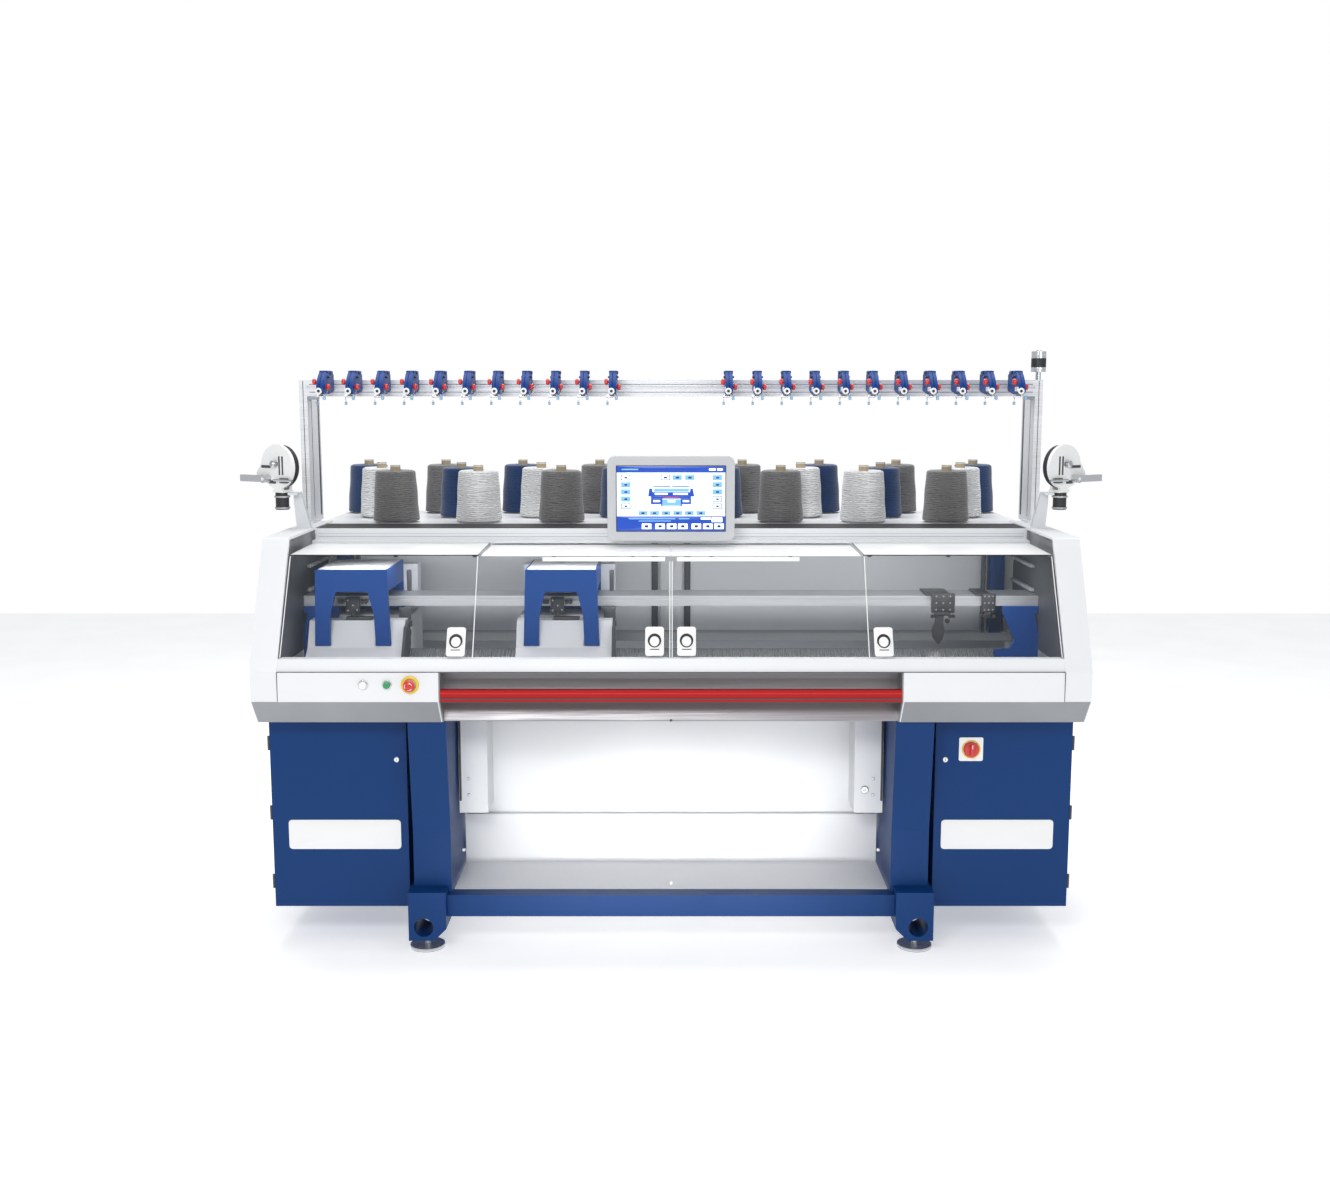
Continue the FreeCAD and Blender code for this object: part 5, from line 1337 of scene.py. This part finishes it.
def build_table():
    """Black mat under the cones and grey lines on the fascia."""
    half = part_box("yarn_table")[1][0]
    fascia, fascia_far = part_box("table_fascia")
    top, front = fascia_far[2] - 0.002, FACE + 0.128
    mat = slab((-half + 0.035, front, top - 0.0003),
               (half - 0.035, front + sizes().mat_deep, top + 0.0009), 0.002, axis=2)
    piece("table_mat", [mat], "rubber")
    lines = [strip_x(-half + 0.05, half - 0.05, (fascia[1] - 0.0006, fascia[2] + at),
                     (fascia[1] + 0.001, fascia[2] + at + wide), 0.0003)
             for at, wide in ((0.009, 0.0020), (0.020, 0.0010))]
    piece("fascia_lines", lines, "grey")


def build_creel():
    """Grooves of the creel posts and bar, dark inner strips, corner blocks and the lamp band."""
    posts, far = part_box("creel_posts")
    bar, bar_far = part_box("creel_bar")
    dark, corner_blocks = [], []
    for sign in (-1, 1):
        inner = sign * (far[0] - POST_WIDE)
        middle = sign * (far[0] - POST_WIDE / 2)
        ends = sorted((inner, inner - sign * 0.0008))
        for share, half in ((0.3, 0.002), (0.85, 0.010)):
            y = posts[1] + (far[1] - posts[1]) * share
            dark.append(slab((ends[0], y - half, posts[2] + 0.02),
                             (ends[1], y + half, bar[2] - 0.01), 0.0003, axis=2))
        dark.append(slab((middle - 0.0012, posts[1] - 0.0006, posts[2] + 0.01),
                         (middle + 0.0012, posts[1] + 0.001, far[2] - 0.004), 0.0003, axis=2))
        ends = sorted((inner, inner - sign * 0.032))
        corner_blocks.append(slab((ends[0], posts[1] + 0.004, bar[2] - 0.012),
                                  (ends[1], posts[1] + 0.060, bar[2]), 0.003))
    dark += [strip_x(bar[0] + 0.008, bar_far[0] - 0.008, (bar[1] - 0.0006, z - 0.0010),
                     (bar[1] + 0.001, z + 0.0010), 0.0003)
             for z in (bar[2] + 0.016, bar_far[2] - 0.016)]
    piece("creel_grooves", dark, "dark")
    piece("creel_blocks", corner_blocks, "grey")
    lamp, lamp_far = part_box("signal_lamp")
    radius, tall = (lamp_far[0] - lamp[0]) / 2, lamp_far[2] - lamp[2]
    band = [(radius * 0.6, 0), (radius - 0.0002, 0), (radius + 0.0006, 0.001),
            (radius + 0.0006, tall * 0.30), (radius - 0.0002, tall * 0.30 + 0.001),
            (radius * 0.6, tall * 0.30 + 0.001)]
    centre = ((lamp[0] + lamp_far[0]) / 2, (lamp[1] + lamp_far[1]) / 2, lamp[2] + tall * 0.42)
    piece("lamp_band", [turned(band, centre, count=40)], "black_plastic")


def on_feeder(shape, sign):
    """A shape drawn square at the feeder's own middle, turned outwards and set in place."""
    x, y, z = FEEDER_PLACE
    place = moved(swung(shape, sizes().feeder_yaw), (x, FACE + y, z))
    return place if sign > 0 else flipped(place)


def build_feeders():
    """Slot windows, rim belt, pad, rods and motor flanges of the two side feeders."""
    for side, sign in (("left", -1), ("right", 1)):
        dark = blocks((0, 0, 0),
                      ((-0.0335, -0.0012, -0.030), (-0.0265, 0.0006, 0.038), 0.003),
                      ((-0.0175, -0.0012, -0.030), (-0.0105, 0.0006, 0.038), 0.003),
                      ((0.030, -0.0012, -0.006), (0.078, 0.0006, 0.004), 0.003),
                      ((0.006, -0.0014, -0.062), (0.040, 0.0006, -0.050), 0.003),
                      ((-0.062, -0.010, -0.058), (-0.020, -0.0005, -0.040), 0.004))
        piece(f"feeder_slots_{side}", [on_feeder(shape, sign) for shape in dark], "dark")
        bright = [turned([(0, 0), (0.011, 0), (0.013, 0.002), (0.013, 0.018), (0.008, 0.022),
                          (0, 0.022)], (0.004, -0.0005, 0.010), FRONT, 24),
                  turned([(0, 0), (0.0045, 0), (0.0045, 0.090), (0, 0.091)],
                         (-0.085, -0.010, -0.048), RIGHT, 14)]
        for rim, tall, z in ((0.0285, 0.006, -0.112), (0.0275, 0.005, -0.152)):
            bright.append(turned([(0.0245, 0), (rim, 0), (rim, tall), (0.0245, tall),
                                  (0.0245, 0)], (0, 0.022, z)))
        piece(f"feeder_metal_{side}", [on_feeder(shape, sign) for shape in bright], "steel")
        belt = turned([(0.0742, 0), (0.0762, 0.001), (0.0762, 0.020), (0.0742, 0.021),
                       (0.0742, 0)], (0, 0.0165, 0), (0, 1, 0), 64)
        piece(f"feeder_belt_{side}", [on_feeder(belt, sign)], "rubber", f"feed_wheel_{side}")


def build_feet():
    """Bright rims on the levelling discs."""
    rims = []
    for low, high in solid_spots("levelling_feet"):
        inner, outer = (high[0] - low[0]) / 2 - 0.0004, (high[0] - low[0]) / 2 + 0.0007
        rims.append(turned([(inner, 0), (outer, 0.0008), (outer, 0.0050), (inner, 0.0058),
                            (inner, 0)],
                           ((low[0] + high[0]) / 2, (low[1] + high[1]) / 2, 0.0035), count=40))
    piece("foot_rims", rims, "chrome")


# --- operators ------------------------------------------------------------------------------

class KNITTING_OT_stage(bpy.types.Operator):
    """Place the camera, the pale floor and the lights"""
    bl_idname = "knitting.stage"
    bl_label = "Stage"

    def execute(self, context):
        build_stage()
        return {"FINISHED"}


class KNITTING_OT_finishes(bpy.types.Operator):
    """Make every finish and put one on each CAD node"""
    bl_idname = "knitting.finishes"
    bl_label = "Finishes"

    def execute(self, context):
        make_finishes()
        finish_nodes()
        return {"FINISHED"}


class KNITTING_OT_cones(bpy.types.Operator):
    """Wind the yarn cones and cap their cores"""
    bl_idname = "knitting.cones"
    bl_label = "Yarn cones"

    def execute(self, context):
        build_cones()
        return {"FINISHED"}


class KNITTING_OT_heads(bpy.types.Operator):
    """Shape the yarn heads on the creel bar and their tension arms"""
    bl_idname = "knitting.heads"
    bl_label = "Yarn heads"

    def execute(self, context):
        build_heads()
        build_arms()
        return {"FINISHED"}


class KNITTING_OT_creel(bpy.types.Operator):
    """Groove the creel posts and bar and band the lamp"""
    bl_idname = "knitting.creel"
    bl_label = "Creel"

    def execute(self, context):
        build_creel()
        return {"FINISHED"}


class KNITTING_OT_controls(bpy.types.Operator):
    """Add the push buttons, the stop button and the main switch"""
    bl_idname = "knitting.controls"
    bl_label = "Controls"

    def execute(self, context):
        build_buttons()
        build_switch()
        return {"FINISHED"}


class KNITTING_OT_doors(bpy.types.Operator):
    """Add bare plates, locks and hinges to the cabinet doors"""
    bl_idname = "knitting.doors"
    bl_label = "Cabinet doors"

    def execute(self, context):
        build_doors()
        return {"FINISHED"}


class KNITTING_OT_windows(bpy.types.Operator):
    """Add the grips with their painted shade, the painted edge highlights and the seals of the
    sliding windows
    """
    bl_idname = "knitting.windows"
    bl_label = "Windows"

    def execute(self, context):
        build_grips()
        build_windows()
        return {"FINISHED"}


class KNITTING_OT_screen(bpy.types.Operator):
    """Draw the lit display"""
    bl_idname = "knitting.screen"
    bl_label = "Touch screen"

    def execute(self, context):
        build_screen()
        return {"FINISHED"}


class KNITTING_OT_carriages(bpy.types.Operator):
    """Detail both carriages"""
    bl_idname = "knitting.carriages"
    bl_label = "Carriages"

    def execute(self, context):
        for side in ("left", "right"):
            build_carriage(side)
        return {"FINISHED"}


class KNITTING_OT_carriers(bpy.types.Operator):
    """Shape both parked yarn carriers"""
    bl_idname = "knitting.carriers"
    bl_label = "Yarn carriers"

    def execute(self, context):
        build_carriers()
        return {"FINISHED"}


class KNITTING_OT_interior(bpy.types.Operator):
    """Add the strips, posts and screws behind the windows"""
    bl_idname = "knitting.interior"
    bl_label = "Interior"

    def execute(self, context):
        build_interior()
        return {"FINISHED"}


class KNITTING_OT_needles(bpy.types.Operator):
    """Lay the needle stems on both beds"""
    bl_idname = "knitting.needles"
    bl_label = "Needles"

    def execute(self, context):
        build_needles()
        return {"FINISHED"}


class KNITTING_OT_covers(bpy.types.Operator):
    """Add the knobs, the painted shade on the bevels, the seams and screws of the white sheets,
    and the mat on the table
    """
    bl_idname = "knitting.covers"
    bl_label = "Covers, aprons and table"

    def execute(self, context):
        build_covers()
        build_aprons()
        build_table()
        return {"FINISHED"}


class KNITTING_OT_tray(bpy.types.Operator):
    """Add the groove, the painted shade and the painted highlight of the start bar, and screw the
    tray
    """
    bl_idname = "knitting.tray"
    bl_label = "Start bar and tray"

    def execute(self, context):
        build_tray()
        return {"FINISHED"}


class KNITTING_OT_feeders(bpy.types.Operator):
    """Detail both side feeders"""
    bl_idname = "knitting.feeders"
    bl_label = "Side feeders"

    def execute(self, context):
        build_feeders()
        return {"FINISHED"}


class KNITTING_OT_feet(bpy.types.Operator):
    """Rim the levelling discs"""
    bl_idname = "knitting.feet"
    bl_label = "Levelling feet"

    def execute(self, context):
        build_feet()
        return {"FINISHED"}


OPERATORS = (
    KNITTING_OT_finishes, KNITTING_OT_stage, KNITTING_OT_cones, KNITTING_OT_heads,
    KNITTING_OT_creel, KNITTING_OT_controls, KNITTING_OT_doors, KNITTING_OT_windows,
    KNITTING_OT_screen, KNITTING_OT_carriages, KNITTING_OT_carriers, KNITTING_OT_interior,
    KNITTING_OT_needles, KNITTING_OT_covers, KNITTING_OT_tray, KNITTING_OT_feeders,
    KNITTING_OT_feet,
)


class KNITTING_PT_panel(bpy.types.Panel):
    """The settings, and a button for each operator"""
    bl_idname = "KNITTING_PT_panel"
    bl_label = "Knitting machine"
    bl_space_type = "VIEW_3D"
    bl_region_type = "UI"
    bl_category = "Knitting machine"

    def draw(self, context):
        for group in (colours(), sizes()):
            for name in group.bl_rna.properties.keys():
                if name not in ("rna_type", "name"):
                    self.layout.prop(group, name)
        for made in OPERATORS:
            self.layout.operator(made.bl_idname)


CLASSES = (KnittingColours, KnittingSizes) + OPERATORS + (KNITTING_PT_panel,)


def register():
    for made in CLASSES:
        bpy.utils.register_class(made)
    bpy.types.Scene.knitting_colours = bpy.props.PointerProperty(type=KnittingColours)
    bpy.types.Scene.knitting_sizes = bpy.props.PointerProperty(type=KnittingSizes)


def unregister():
    del bpy.types.Scene.knitting_sizes
    del bpy.types.Scene.knitting_colours
    for made in reversed(CLASSES):
        bpy.utils.unregister_class(made)


def main():
    register()
    for made in OPERATORS:
        group, name = made.bl_idname.split(".")
        result = getattr(getattr(bpy.ops, group), name)()
        if result != {"FINISHED"}:
            raise RuntimeError(f"{made.bl_idname} did not finish")


if __name__ == "__main__":
    main()
